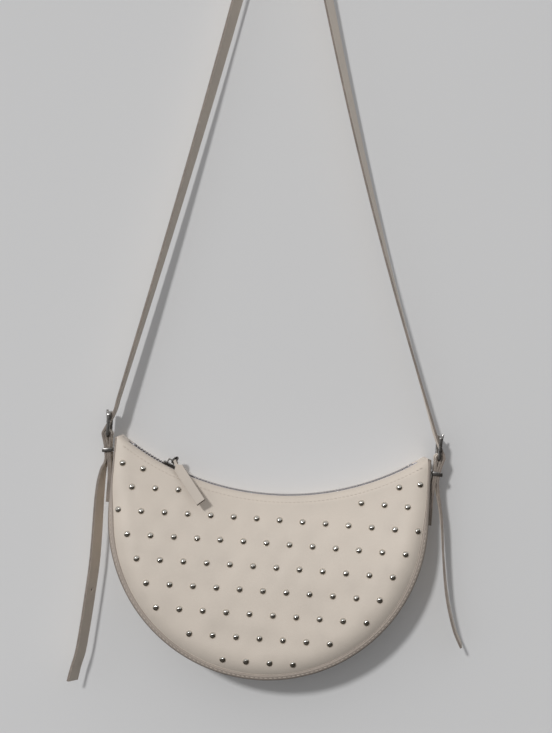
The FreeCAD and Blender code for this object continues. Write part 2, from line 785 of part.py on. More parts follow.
def buckle(side):
    """Rectangular frame with rounded corners, its lower side a round bar."""
    half = frame_window() + FRAME_WALL
    top = FRAME_HEIGHT + FRAME_WALL / 2
    plate = Part.makeBox(FRAME_THICK, 2 * half, top, Vector(BAR_X - FRAME_THICK / 2, -half, 0))
    corners = []
    for edge in plate.Edges:
        middle = edge.CenterOfMass
        if abs(abs(middle.y) - half) < FRAME_CORNER / 2 and abs(middle.z - top) < FRAME_CORNER / 2:
            corners.append(edge)
    plate = plate.makeFillet(FRAME_CORNER, corners)
    window = Part.makeBox(FRAME_THICK, 2 * frame_window(), FRAME_HEIGHT)
    window.translate(Vector(BAR_X - FRAME_THICK / 2, -frame_window(), -FRAME_WALL / 2))
    bar = Part.makeCylinder(BAR_RADIUS, 2 * half, BAR - Vector(0, half, 0), Vector(0, 1, 0))
    return mirrored(plate.cut(window).fuse(bar).removeSplitter(), side)


def prong_line():
    """From the bar to the outer face of the frame's top side, and a little past it."""
    rest = BAR_X + FRAME_THICK / 2 + PRONG_REST_GAP + PRONG_RADIUS
    tip = Vector(rest, 0, FRAME_HEIGHT)
    start = Vector(BAR_X + PRONG_EYE_WALL / 2, 0, BAR_RADIUS)
    way = tip - start
    return start, start + way * (1 + FRAME_WALL / way.Length)


def prong(side):
    start, tip = prong_line()
    way = tip - start
    rod = prism(even_ring(PRONG_RADIUS, PRONG_SIDES), Vector(0, 0, way.Length))
    rod.Placement = Placement(start, Rotation(Vector(0, 0, 1), way))
    eye_radius = BAR_RADIUS + PRONG_EYE_WALL
    foot = BAR - Vector(0, PRONG_EYE_WIDTH / 2, 0)
    eye = prism(even_ring(eye_radius, 2 * PRONG_SIDES), Vector(0, 0, PRONG_EYE_WIDTH))
    eye.Placement = Placement(foot, Rotation(Vector(0, 0, 1), Vector(0, 1, 0)))
    bore = Part.makeCylinder(BAR_RADIUS + PRONG_BORE_GAP, PRONG_EYE_WIDTH, foot, Vector(0, 1, 0))
    return mirrored(eye.fuse(rod).cut(bore).removeSplitter(), side)


def prong_slot(side):
    """Room in the strap for the prong over its swing."""
    start, tip = prong_line()
    way = tip - start
    way.normalize()
    out = Vector(way.z, 0, -way.x)
    room = PRONG_RADIUS + PRONG_SLOT_GAP
    spread = (tip - start).Length * math.tan(math.radians(PRONG_SWING))
    points = [start - out * room, start + out * room, tip + out * (room + spread), tip - out * room]
    width = 2 * room
    solid = prism(points, Vector(0, width, 0))
    solid.translate(Vector(0, -width / 2, 0))
    return mirrored(solid, side)


def keeper_places():
    inner_low = -TAB_LEATHER - KEEPER_GAP
    inner_high = TAB_LEATHER + STRAP_GAP + STRAP_THICK + KEEPER_GAP
    half = STRAP_WIDTH / 2 + KEEPER_GAP
    return inner_low, inner_high, half


def keeper(side):
    """A flat metal loop round the tab and the strap's free end."""
    low, high, half = keeper_places()
    shapes = []
    for wall in (KEEPER_WALL, 0.0):
        inner = on_tab(KEEPER_DROP - KEEPER_HEIGHT / 2, low - wall)
        outer = on_tab(KEEPER_DROP - KEEPER_HEIGHT / 2, high + wall)
        aside = Vector(0, half + wall, 0)
        points = [inner - aside, outer - aside, outer + aside, inner + aside]
        shapes.append(prism(points, TAB_DOWN * KEEPER_HEIGHT))
    return mirrored(shapes[0].cut(shapes[1]), side)


# The strap is one long strip, drawn in the hanging frame from the left free end to the right one

def hung_point(point, side):
    return HANG.multVec(Vector(side * point.x, point.y, point.z))


def tangent_point(outside, centre, radius, turn_sign):
    """Touching point of the line from a point to a circle, in the XZ plane."""
    away = outside - centre
    base = math.atan2(away.z, away.x)
    angle = base + turn_sign * math.acos(radius / math.hypot(away.x, away.z))
    return centre + Vector(math.cos(angle), 0, math.sin(angle)) * radius, angle


def strap_end(side):
    """From the frame's top side, out over the bar and down to the keeper: (place, turn of the face)."""
    radius = LOOP_RADIUS + STRAP_GAP + STRAP_THICK / 2
    inside = BAR_X - FRAME_THICK / 2 - STRAP_FRAME_GAP - STRAP_THICK / 2
    top = Vector(inside, 0, FRAME_HEIGHT)
    exit_place = on_tab(KEEPER_DROP, TAB_LEATHER + STRAP_GAP + STRAP_THICK / 2)
    first, first_angle = tangent_point(top, BAR, radius, -1)
    last_angle = math.atan2(TAB_OUT.z, TAB_OUT.x)
    points = [top, first]
    for step in range(1, BEND_STEPS):
        angle = first_angle + (last_angle - first_angle) * step / BEND_STEPS
        points.append(BAR + Vector(math.cos(angle), 0, math.sin(angle)) * radius)
    below = on_tab(KEEPER_DROP + KEEPER_HEIGHT, TAB_LEATHER + STRAP_GAP + STRAP_THICK / 2)
    points += [exit_place - TAB_DOWN * KEEPER_HEIGHT, below]
    return [(hung_point(point, side), 0.0) for point in points]


def strap_tail(side, start, rows):
    """The free end below the keeper, hanging as it falls."""
    keeper_place = hung_point(on_tab(KEEPER_DROP, 0.0), side)
    points = [start] + [keeper_place + Vector(side * out, 0, -drop) for out, drop, face in rows]
    turns = [0.0] + [face for out, drop, face in rows]
    curve = Part.BSplineCurve()
    curve.interpolate(points)
    knots = curve.getKnots()
    stations = []
    for step in range(1, TAIL_STEPS + 1):
        where = (len(knots) - 1) * step / TAIL_STEPS
        index = min(int(where), len(knots) - 2)
        share = where - index
        place = curve.value(knots[index] + (knots[index + 1] - knots[index]) * share)
        stations.append((place, turns[index] + (turns[index + 1] - turns[index]) * share))
    return stations


def strap_arm(side, low):
    """From the peg down to the frame, turning from the peg's direction to the bag's."""
    peg = Vector(0, 0, -PEG_RADIUS)
    top, angle = tangent_point(Vector(low.x, 0, low.z), peg, PEG_RADIUS + STRAP_THICK / 2, side)
    start = Vector(top.x * cos(PEG_TURN), top.x * sin(PEG_TURN), top.z)
    stations = []
    for step in range(ARM_STEPS):
        share = step / ARM_STEPS
        stations.append((start + (low - start) * share, PEG_TURN * (1 - share)))
    return stations, angle % (2 * math.pi)


def strap_over_peg(left_angle, right_angle):
    radius = PEG_RADIUS + STRAP_THICK / 2
    stations = []
    for step in range(1, 2 * BEND_STEPS):
        angle = left_angle + (right_angle - left_angle) * step / (2 * BEND_STEPS)
        out = radius * math.cos(angle)
        place = Vector(out * cos(PEG_TURN), out * sin(PEG_TURN), radius * math.sin(angle) - PEG_RADIUS)
        stations.append((place, PEG_TURN))
    return stations


def strap_axes(stations, index):
    """Directions across the strap's width and through its thickness."""
    face = stations[index][1]
    before = stations[max(index - 1, 0)][0]
    after = stations[min(index + 1, len(stations) - 1)][0]
    along = after - before
    along.normalize()
    wide = Vector(-sin(face), cos(face), 0)
    wide = wide - along * wide.dot(along)
    wide.normalize()
    return wide, along.cross(wide)


def strap_section(stations, index):
    place = stations[index][0]
    wide, thick = strap_axes(stations, index)
    w = wide * (STRAP_WIDTH / 2)
    t = thick * (STRAP_THICK / 2)
    return polygon([place - w - t, place + w - t, place + w + t, place - w + t])


def strap_hole(stations):
    """A punched hole in the free end, square to its face."""
    level = stations[-1][0].z + STRAP_HOLE_RISE
    index = min(range(len(stations)), key=lambda i: abs(stations[i][0].z - level))
    thick = strap_axes(stations, index)[1]
    start = stations[index][0] - thick * STRAP_THICK
    return Part.makeCylinder(STRAP_HOLE / 2, 2 * STRAP_THICK, start, thick)


def shoulder_strap():
    left_end = strap_end(-1)
    right_end = strap_end(1)
    left_arm, left_angle = strap_arm(-1, left_end[0][0])
    right_arm, right_angle = strap_arm(1, right_end[0][0])
    left_tail = strap_tail(-1, left_end[-1][0], TAIL_LEFT)
    left_half = left_arm + left_end + left_tail
    right_half = right_arm + right_end + strap_tail(1, right_end[-1][0], TAIL_RIGHT)
    stations = left_half[::-1] + strap_over_peg(left_angle, right_angle) + right_half
    strip = Part.makeLoft([strap_section(stations, index) for index in range(len(stations))], True, True)
    length = sum((b[0] - a[0]).Length for a, b in zip(stations, stations[1:]))
    print("strap length", round(length, 1))
    return strip.cut([hang(prong_slot(side)) for side in (-1, 1)] + [strap_hole(left_tail)])


def main():
    os.makedirs("parts", exist_ok=True)
    pieces = {
        "front_panel": front_panel(),
        "back_panel": back_panel(),
        "gusset": gusset(),
        "front_lining": front_lining(),
        "back_lining": back_lining(),
        "gusset_lining": gusset_lining(),
        "studs": studs(),
        "zip_tape_front": zip_tape(-1),
        "zip_tape_back": zip_tape(1),
        "zip_teeth_front": zip_teeth(-1),
        "zip_teeth_back": zip_teeth(1),
        "zip_top_stops": zip_top_stops(),
        "zip_bottom_stop": zip_bottom_stop(),
        "slider_body": slider_body(),
        "puller_ring": puller_ring(),
        "pull_tab": pull_tab(),
    }
    for side, word in ((-1, "left"), (1, "right")):
        pieces["tab_" + word] = tab(side)
        pieces["buckle_" + word] = buckle(side)
        pieces["prong_" + word] = prong(side)
        pieces["keeper_" + word] = keeper(side)
    for name, shape in pieces.items():
        save(name, shape)
    shoulder_strap().exportStep("parts/shoulder_strap.step")


main()
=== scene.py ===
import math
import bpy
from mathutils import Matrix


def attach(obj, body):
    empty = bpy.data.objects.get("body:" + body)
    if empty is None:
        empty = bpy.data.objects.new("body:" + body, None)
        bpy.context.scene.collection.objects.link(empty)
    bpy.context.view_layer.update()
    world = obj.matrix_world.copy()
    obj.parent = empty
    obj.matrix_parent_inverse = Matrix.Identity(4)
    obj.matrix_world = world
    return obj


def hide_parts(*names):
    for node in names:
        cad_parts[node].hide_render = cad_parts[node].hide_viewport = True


bl_info = {
    "name": "Half moon bag",
    "version": (1, 0, 0),
    "blender": (4, 5, 0),
    "location": "View3D > Sidebar > Bag",
    "description": "Dresses the half moon shoulder bag and hangs it in front of a plain wall",
    "category": "Object",
}

import bmesh
import bpy
from mathutils import Matrix, Vector, noise

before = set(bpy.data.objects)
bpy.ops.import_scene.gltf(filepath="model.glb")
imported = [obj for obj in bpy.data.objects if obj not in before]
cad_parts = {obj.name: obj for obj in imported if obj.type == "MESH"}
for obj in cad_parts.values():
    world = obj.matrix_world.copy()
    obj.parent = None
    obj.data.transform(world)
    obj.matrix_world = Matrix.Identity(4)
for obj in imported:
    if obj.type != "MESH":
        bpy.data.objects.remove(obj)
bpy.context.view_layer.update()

MM = 0.001
SIDES = ((-1, "left"), (1, "right"))

# Finishes by their place in a piece's list: the front has three, other leather a face and a rim
FACE = 0
# The front's second finish is a darker seam leather: painted shade in the crease beside the seam and on the
# turned-out edge
SHADED_SEAM = 1
EDGE = 2
RIM = 1

# Rolled edges beside the zip: where the roll ends, and where the two lips close towards the tips
ROLL_END = math.radians(176.5)
LIP_CLOSES = 125.5 * MM
LIP_RUN = 3.5 * MM
# Turn past the roll's end, plies in from its face, then level and distance aside (mm) where closed
LIP = ((-0.5, 1.0, 0.4, 0.0), (0.0, 1.0, 0.0, 3.0), (0.03, 0.5, -0.1, 6.0))
TIP_SHARES = (0.0, 0.35, 0.7)

# Columns of each panel and parts down them
FRONT_GRID = (260, 140)
BACK_GRID = (200, 80)

# The front's seam from its step outwards: out and in (mm), and the finish of the strip up to there
# The crease and the turned-out edge take the darker seam finish, which paints the shade that falls there
FRONT_SEAM = (
    (0.2, -0.15, FACE), (0.1, 0.4, FACE), (-0.5, 0.9, SHADED_SEAM), (0.3, 0.6, SHADED_SEAM), (0.8, 0.0, SHADED_SEAM),
    (1.3, -0.2, SHADED_SEAM), (2.2, 0.3, SHADED_SEAM), (3.6, 1.3, SHADED_SEAM), (4.6, 2.1, SHADED_SEAM), (5.3, 2.8, EDGE),
    (5.5, 3.4, EDGE), (5.2, 4.0, EDGE), (4.5, 3.7, EDGE), (2.0, 1.9, EDGE),
)

# Soft forms of the front: swell, overhang at the tips, sunk stitching, waves, dents and one crease
SWELL_FROM = 10.0 * MM
SWELL_RUN = 70.0 * MM
OVER_FROM = -75.0 * MM
OVER_RUN = 45.0 * MM
STITCH_SINK = 0.3 * MM
STITCH_WIDTH = 0.9 * MM
WAVE_FROM = 4.0 * MM
WAVE_RUN = 20.0 * MM
WAVE_SIDE = 16.0 * MM
DENT_WIDTH = 4.2 * MM
DENT_DEPTH = 0.32 * MM
CREASE_X = -100.5 * MM
CREASE_Z = -139.5 * MM
CREASE_LEAN = 0.35
CREASE_WIDTH = 1.6 * MM
CREASE_LENGTH = 6.0 * MM
CREASE_DEPTH = 0.7 * MM

# The back is trimmed inside its rim and sags a little
BACK_TRIM = 0.6 * MM
SAG_RUN = 30.0 * MM
SAG_DEPTH = 0.5 * MM

# One flank of the gusset from its turned-out edge: out and inward (mm), flat edge first
GUSSET_FLANK = (
    (3.4, 0.0), (4.7, 0.0), (5.0, 0.35), (5.05, 0.8), (4.95, 1.3), (4.5, 1.6), (3.2, 1.62), (2.1, 1.66),
    (1.55, 1.9), (1.7, 2.4), (2.6, 3.3), (4.0, 4.5), (5.1, 5.7), (5.8, 7.4),
)
GUSSET_EDGE = 2.0
GUSSET_EDGE_FACES = 5
GUSSET_BULGE = 6.0 * MM
GUSSET_GAP = 0.25 * MM
GUSSET_TOP_HALF = 6.5 * MM
GUSSET_NARROWS = -12.0 * MM
GUSSET_NARROW_RUN = 9.5 * MM

# The lining inside the leather: columns and parts, gaps, thickness and folds
LINING_GRID = (120, 24)
LINING_GAP = 0.6 * MM
LINING_SIDE_GAP = 0.8 * MM
LINING_THICK = 0.4 * MM
LINING_FOLD = 0.6 * MM

# A stud from its rim to near its top, in half widths and heights
STUD_OUTLINE = (
    (1.12, -0.14), (1.15, 0.04), (1.11, 0.18), (1.02, 0.4), (0.87, 0.66), (0.65, 0.85), (0.37, 0.96),
)
STUD_SIDES = 28
# Half pitches left bare in the middle of the two top rows
STUD_ROW_OPEN = (11, 8)

# The zip tapes: columns, bend beside the teeth, gap to the roll, ends and turn into the roll
TAPE_COLUMNS = 180
TAPE_KNEE = 6.2 * MM
TAPE_GAP = 0.6 * MM
TAPE_THICK = 0.55 * MM
TAPE_END = 6.0 * MM
TAPE_TURN = math.radians(118)

# The pull: place of the ring's hinge over the zip, its ways off it and its bends
RING_RISE = 4.2 * MM
PULL_RISE = math.radians(64)
PULL_TWIST = math.radians(30)
PULL_TILTS = (math.radians(80), math.radians(30))
PULL_LEAD = 9.0 * MM
PULL_CLOSED = 7.0 * MM
PULL_SLACK = 16.0 * MM
PULL_FLAT = 12.0 * MM
PULL_PUFF = 0.3 * MM
PULL_CUP = 0.25 * MM
PULL_SPACING = 1.2 * MM
RING_GAP = 0.4 * MM

# The strap's ends: gaps between layers, and bends and slot of the tabs
PLY_GAP = 0.03 * MM
BAR_GAP = 0.2 * MM
STRAP_GAP = 0.35 * MM
TAB_GAP = 0.1 * MM
TAB_SEWN = 12.0 * MM
TAB_KNEE = 3.0 * MM
TAB_EASE = 6.0 * MM
TAB_SPACING = 1.5 * MM
TAB_COLUMNS = (-1.0, -0.92, -0.6, -0.235, 0.235, 0.6, 0.92, 1.0)
PRONG_SLOT_LOW = -3.4 * MM

# Columns across the strap in half widths: the middle three lie round its hole and the prongs' slots
STRAP_COLUMNS = (-1.0, -0.93, -0.6, -0.18, 0.0, 0.18, 0.6, 0.93, 1.0)
HOLE_COLUMNS = (3, 4, 5)
HOLE_ROUND = 0.72
STRAP_SPACING = 4.5 * MM
PRONG_LENGTH = 22.0 * MM
PRONG_HALF = 1.7 * MM
PRONG_SPREAD = 0.09
# Bow of each arm: sideways (mm), where it is widest, and how long the peg's turn holds
ARM_SAG = {-1: (3.0, 1.0, 0.0), 1: (-7.2, 1.2, 0.45)}
# Free ends below the keepers: outwards and down (mm), turn of the face (degrees)
TAILS = {
    -1: (
        (6.0, 19.0, -10.0), (9.2, 42.0, -20.0), (13.4, 98.8, -25.0), (18.4, 134.4, -25.0),
        (23.4, 165.6, -25.0), (26.6, 182.0, -26.0), (30.4, 194.1, -26.0), (33.4, 206.0, -27.0),
    ),
    1: (
        (5.6, 41.0, -4.0), (7.6, 77.0, -8.0), (10.8, 111.0, -10.0), (17.0, 139.0, -10.0),
        (23.2, 154.0, -10.0),
    ),
}

# A stitch from end to end: place along it, thickness and rise in radii
THREAD_OUTLINE = ((-0.5, 0.55, -0.7), (-0.3, 1.0, 0.25), (0.3, 1.0, 0.25), (0.5, 0.55, -0.7))
THREAD_SIDES = 6
THREAD_SLANT = 0.12

# The stage, in metres
WALL_PLACE = 0.0195
FLOOR_LEVEL = -1.1
CARD_LEVEL = -1.09
# Cards that only the metal sees: a corner and two sides
CARDS = (
    ("low_card", (-6, -6, CARD_LEVEL), (12, 0, 0), (0, 12, 0)),
    ("right_card", (1.6, -5, CARD_LEVEL), (0, 5, 0), (0, 0, 1.49)),
    ("front_card", (-6, -5, CARD_LEVEL), (12, 0, 0), (0, 0, 1.99)),
)
CAMERA_PLACE = (-0.0107, -1.07, -0.4736)
CAMERA_LENS = 58.98


def clamp(value):
    return max(0.0, min(1.0, value))


def ease(value):
    """A smooth step from 0 to 1"""
    share = clamp(value)
    return share * share * (3 - 2 * share)


def root(value):
    """Square root that takes what rounding puts below zero as zero"""
    return math.sqrt(max(value, 0.0))


def length(name, description, default):
    return bpy.props.FloatProperty(
        name=name,
        description=description,
        default=default * MM,
        precision=5,
        unit="LENGTH",
        subtype="DISTANCE",
    )


def angle(name, description, default):
    return bpy.props.FloatProperty(
        name=name, description=description, default=math.radians(default), unit="ROTATION", subtype="ANGLE"
    )


def colour(name, description, default):
    return bpy.props.FloatVectorProperty(
        name=name, description=description, default=default, size=3, min=0.0, max=1.0, subtype="COLOR"
    )


class BagSizes(bpy.types.PropertyGroup):
    """Lengths and angles of the bag"""

    seam_radius: length("Seam radius", "Half the bag's width at the seam", 135.0)
    seam_setback: length("Seam setback", "How far the front's step stands inside the seam", 0.5)
    side_height: length("Side height", "Straight part of each side below the tips", 60.0)
    flange_width: length("Seam edge", "Width of the turned-out seam edge", 5.0)
    zip_radius: length("Zip radius", "Radius of the curved top edge", 234.0)
    tip_sink: length("Tip sink", "How far the zip edge passes below the tips", 0.53)
    tip_radius: length("Tip radius", "Rounding of the two tips", 4.0)
    tip_depth: length("Half depth", "Half the bag's depth at the top", 16.5)
    front_lean: angle("Front lean", "How far the front leans out below the zip", 14.5)
    front_crown: length("Front crown", "Radius of the front's crown", 950.0)
    roll_radius: length("Roll radius", "Radius of the rolled edges beside the zip", 9.0)
    groove: length("Groove", "Step down from the front to its seam edge", 3.0)
    edge_round: length("Edge rounding", "Width over which the front rounds off to its seam", 14.0)
    edge_drop: length("Edge drop", "How far the front rounds back at its seam", 3.2)
    swell: length("Swell", "How far the front swells towards its bottom", 4.8)
    over_left: length("Left overhang", "How far the front swells over its seam edge at the left tip", 3.6)
    over_right: length("Right overhang", "How far the front swells over its seam edge at the right tip", 2.4)
    stitch_drop: length("Stitch place", "Distance of the stitching from the zip edge", 5.0)
    leather: length("Leather", "Thickness of the panels", 1.6)
    bulge: length("Gusset bulge", "How far the gusset swells past the seam", 6.0)
    stud_width: length("Stud width", "Diameter of a stud", 5.0)
    stud_height: length("Stud height", "Height of a stud", 1.7)
    stud_pitch: length("Stud pitch", "Distance between studs in a row", 20.1)
    stud_row_pitch: length("Stud row pitch", "Distance between rows of studs", 19.9)
    stud_top_row: length("Top row", "First row of studs below the tips", 23.7)
    stud_zip_clear: length("Stud to zip", "Least distance of a stud from the zip edge", 11.5)
    stud_side_clear: length("Stud to side", "Least distance of a stud from the sides", 1.2)
    stud_bottom_clear: length("Stud to bottom", "Least distance of a stud from the bottom seam", 3.5)
    chain_sink: length("Chain sink", "How far the zip lies below the rolled edges", 0.6)
    chain_inset: length("Chain inset", "From each side seam to the end of the zip's teeth", 13.1)
    slider_open: length("Slider place", "Open length of the zip left of the slider", 34.0)
    slider_length: length("Slider length", "Length of the slider", 12.0)
    tooth_root: length("Tooth root", "From the middle of the zip to the tape", 2.65)
    open_step: length("Open step", "How far an open row stands aside", 1.8)
    ring_radius: length("Ring radius", "Radius of the puller ring", 3.7)
    ring_wire: length("Ring wire", "Thickness of the ring's wire", 1.2)
    pull_length: length("Pull length", "Length of the leather pull", 54.0)
    pull_width: length("Pull width", "Width of the leather pull", 8.6)
    pull_neck: length("Pull neck", "Width of the pull at the ring", 2.6)
    pull_leather: length("Pull leather", "Thickness of one layer of the pull", 1.1)
    strap_width: length("Strap width", "Width of the strap and the tabs", 15.0)
    strap_thick: length("Strap thickness", "Thickness of the strap", 2.0)
    strap_hole: length("Strap hole", "Diameter of the punched hole", 2.0)
    strap_hole_rise: length("Hole rise", "Height of the punched hole above the free end", 79.0)
    tab_leather: length("Tab leather", "Thickness of one layer of a tab", 1.7)
    tab_foot: length("Tab foot", "Lower end of a tab below the tips", 60.0)
    tab_free: length("Tab free", "Where a tab leaves the gusset", 34.0)
    tab_close: length("Tab close", "Where a tab's layers meet below the bar", 10.0)
    bar_out: length("Bar place", "Distance of the buckle's bar outside the seam", 12.0)
    bar_radius: length("Bar radius", "Radius of the buckle's bar", 1.4)
    frame_height: length("Frame height", "Height of the buckle's frame", 18.6)
    frame_thick: length("Frame thickness", "Thickness of the buckle's frame", 2.8)
    keeper_drop: length("Keeper drop", "Distance of the keeper below the bar", 14.0)
    keeper_height: length("Keeper height", "Height of the keeper", 3.5)
    keeper_travel: length("Keeper travel", "How far the strap stays on its tab below a keeper", 4.0)
    peg_radius: length("Peg radius", "Inside radius of the strap's top bend", 8.0)
    peg_turn: angle("Peg turn", "Turn of the strap over the peg", -40.0)
    hang_tilt: angle("Hang tilt", "Tilt of the hanging bag", 4.2)
    hang_shift: length("Hang shift", "Sideways place of the hanging bag", -12.9)
    hang_drop: length("Hang drop", "Drop of the bag's tips below the peg", 544.0)


class BagColours(bpy.types.PropertyGroup):
    """Finishes of the bag and its stage"""

    leather: colour("Leather", "Cream leather", (0.567, 0.503, 0.434))
    # The seam colour is darkened to paint the shade of the seam crease and of the turned-out edge along the
    # bottom and right
    seam: colour("Seam leather", "Darker leather of the seam crease and turned-out edges, as painted shade", (0.345, 0.295, 0.254))
    edge: colour("Cut edge", "Painted edge of the leather", (0.21, 0.176, 0.15))
    thread: colour("Thread", "Stitching", (0.53, 0.465, 0.4))
    lining: colour("Lining", "Cotton lining", (0.42, 0.37, 0.32))
    tape: colour("Zip tape", "Woven zip tape", (0.6, 0.565, 0.59))
    stud: colour("Studs", "Polished studs", (0.7, 0.665, 0.61))
    zip: colour("Zip metal", "Teeth and stops", (0.33, 0.32, 0.33))
    slider: colour("Slider metal", "Slider and ring", (0.14, 0.13, 0.12))
    buckle: colour("Buckle metal", "Buckles, prongs and keepers", (0.33, 0.32, 0.31))
    card: colour("Card", "Dark cards that only the metal sees", (0.035, 0.028, 0.02))
    wall: colour("Wall", "Plain wall behind the bag", (0.59, 0.59, 0.59))
    floor: colour("Floor", "Plain pale floor", (0.62, 0.62, 0.62))


class Form:
    """Places on the bag, worked out from its sizes"""

    def __init__(self, s):
        self.s = s
        self.axis_z = math.sqrt(s.zip_radius**2 - s.seam_radius**2) - s.tip_sink
        self.step = s.seam_radius - s.seam_setback
        self.rim = s.seam_radius + s.flange_width
        self.roll_rho = s.zip_radius - s.roll_radius * math.cos(ROLL_END)
        self.front_roll = s.tip_depth - s.roll_radius * math.cos(s.front_lean)
        self.back_roll = s.tip_depth - s.roll_radius
        reach = s.front_crown - s.roll_radius
        self.crown_rho = self.roll_rho + reach * math.sin(s.front_lean)
        self.crown_depth = self.front_roll - reach * math.cos(s.front_lean)
        self.chain = s.zip_radius + s.chain_sink
        turn = Matrix.Rotation(s.hang_tilt, 4, "Y")
        self.hang = Matrix.Translation((s.hang_shift, 0, -s.hang_drop)) @ turn
        self.slider = s.slider_open / self.chain - math.asin((s.seam_radius - s.chain_inset) / self.chain)
        chain_turn = Matrix.Rotation(-self.slider, 4, "Y")
        axis = Matrix.Translation((0, 0, self.axis_z))
        self.on_chain = self.hang @ axis @ chain_turn @ Matrix.Translation((0, 0, -self.chain))
        self.tip_phi = math.asin((self.rim - s.tip_radius) / (s.zip_radius + s.tip_radius))
        self.end_phi = self.tip_phi + math.asin(s.tip_radius / (s.zip_radius + s.tip_radius)) - 1e-4
        self.spots = list(self.stud_spots())

    def flat(self, rho, phi):
        """(x, z) on the upright bag at a distance from the zip axis and an angle about it"""
        return rho * math.sin(phi), self.axis_z - rho * math.cos(phi)

    def place(self, rho, phi, y):
        x, z = self.flat(rho, phi)
        return self.hang @ Vector((x, y, z))

    def outline_rho(self, phi, radius):
        """Distance from the zip axis to the half moon's lower outline of this radius"""
        low = self.axis_z + self.s.side_height
        across = abs(math.sin(phi))
        if across > 1e-6:
            side = radius / across
            if self.axis_z - side * math.cos(phi) > -self.s.side_height:
                return side
        return low * math.cos(phi) + root(radius**2 - (low * across) ** 2)

    def top_rho(self, phi):
        """Distance from the zip axis to the top edge, rounded at the tips"""
        past = abs(phi) - self.tip_phi
        if past <= 0:
            return self.s.zip_radius
        centre = self.s.zip_radius + self.s.tip_radius
        return centre * math.cos(past) - root(self.s.tip_radius**2 - (centre * math.sin(past)) ** 2)

    def front_depth(self, rho, inset=0.0):
        radius = self.s.roll_radius - inset
        if rho < self.roll_rho - radius * math.sin(self.s.front_lean):
            return self.front_roll + root(radius**2 - (rho - self.roll_rho) ** 2)
        radius = self.s.front_crown - inset
        return self.crown_depth + root(radius**2 - (rho - self.crown_rho) ** 2)

    def back_depth(self, rho, inset=0.0):
        if rho < self.roll_rho:
            return self.back_roll + root((self.s.roll_radius - inset) ** 2 - (rho - self.roll_rho) ** 2)
        return self.s.tip_depth - inset

    def stud_spots(self):
        s = self.s
        rows = int((s.side_height + self.step - s.stud_top_row) / s.stud_row_pitch) + 1
        most = int(2 * self.step / s.stud_pitch)
        least = s.zip_radius + s.stud_zip_clear
        for row in range(rows):
            z = -s.stud_top_row - row * s.stud_row_pitch
            open_middle = STUD_ROW_OPEN[row] if row < len(STUD_ROW_OPEN) else 0
            for half in range(-most, most + 1):
                if (half + row) % 2 == 0 or abs(half) < open_middle:
                    continue
                spot = Vector((half * s.stud_pitch / 2, 0, z - self.axis_z))
                if spot.length < least:
                    spot *= least / spot.length
                if self.within_seam(spot.x, spot.z + self.axis_z):
                    yield spot.x, spot.z + self.axis_z

    def within_seam(self, x, z):
        """Whether a stud here lies on the front, clear of its seam"""
        s = self.s
        if abs(x) + s.stud_width / 2 + s.stud_side_clear > self.step:
            return False
        bottom = -s.side_height - math.sqrt(self.step**2 - x**2)
        return z - s.stud_width / 2 - s.stud_bottom_clear > bottom

    def overhang(self, phi):
        """How far the front swells over its seam edge beside the tips"""
        z = self.flat(self.outline_rho(phi, self.step), phi)[1]
        most = self.s.over_left if phi < 0 else self.s.over_right
        return most * ease((z - OVER_FROM) / OVER_RUN)

    def softness(self, rho, phi):
        """How far the front leather stands out from its even crown here"""
        s = self.s
        x, z = self.flat(rho, phi)
        below = rho - s.zip_radius
        inside = self.step + self.overhang(phi) - math.hypot(x, min(z + s.side_height, 0.0))
        swell = s.swell * ease((below - SWELL_FROM) / SWELL_RUN)
        past = 1 - clamp(inside / (s.edge_round + 1.25 * swell))
        drop = (s.edge_drop + swell) * past**2.5 - swell
        drop += STITCH_SINK * math.exp(-(((below - s.stitch_drop) / STITCH_WIDTH) ** 2))
        fade = clamp(inside / WAVE_SIDE) * clamp((below - WAVE_FROM) / WAVE_RUN)
        return fade * self.waves(x, z) - drop

    def waves(self, x, z):
        """Low waves of the front, with a dent round each stud and one crease"""
        out = 0.9 * MM * noise.noise((x * 20, z * 20, 3.1)) + 0.4 * MM * noise.noise((x * 62, z * 62, 9.7))
        for spot_x, spot_z in self.spots:
            away = ((x - spot_x) ** 2 + (z - spot_z) ** 2) / DENT_WIDTH**2
            if away < 9:
                out -= DENT_DEPTH * math.exp(-away / 2)
        across = (x - CREASE_X + CREASE_LEAN * (z - CREASE_Z)) / CREASE_WIDTH
        along = (z - CREASE_Z) / CREASE_LENGTH
        return out - CREASE_DEPTH * math.exp(-(across**2 + along**2) / 2)

    def slackness(self, rho, phi):
        """How far the back leather stands out from flat here"""
        x, z = self.flat(rho, phi)
        fade = clamp((rho - self.s.zip_radius) / SAG_RUN)
        return SAG_DEPTH * fade * (noise.noise((x * 25, z * 25, 1.7)) - 0.6)

    def front_point(self, rho, phi):
        return self.place(rho, phi, -self.front_depth(rho) - self.softness(rho, phi))

    def roll_turn(self, rho):
        """Angle round a rolled edge at this distance from the zip axis"""
        return math.acos(max(-1.0, min(1.0, (rho - self.roll_rho) / self.s.roll_radius)))

    def roll_point(self, turn, depth, radius):
        """(rho, depth) on a rolled edge"""
        return self.roll_rho + radius * math.cos(turn), depth + radius * math.sin(turn)

    def panel_line(self, phi, front, count):
        """(rho, depth) down a panel from its rolled edge to the step at the seam"""
        s = self.s
        tangent = math.pi / 2 + (s.front_lean if front else 0.0)
        depth = self.front_roll if front else self.back_roll
        depth_at = self.front_depth if front else self.back_depth
        top = self.top_rho(phi)
        edge = self.step + self.overhang(phi) if front else self.rim - BACK_TRIM
        bottom = max(self.outline_rho(phi, edge), top)
        start = min(ROLL_END, self.roll_turn(top))
        turn_rho = self.roll_rho + s.roll_radius * math.cos(tangent)
        if bottom < turn_rho:
            tangent = max(tangent, self.roll_turn(bottom))
        round_length = s.roll_radius * max(start - tangent, 0.0)
        face_length = max(bottom - turn_rho, 0.0)
        line = []
        for step in range(count + 1):
            along = (round_length + face_length) * ease(step / count)
            if along < round_length or face_length == 0.0:
                line.append(self.roll_point(start - along / s.roll_radius, depth, s.roll_radius))
            else:
                rho = turn_rho + along - round_length
                line.append((rho, depth_at(rho)))
        return line

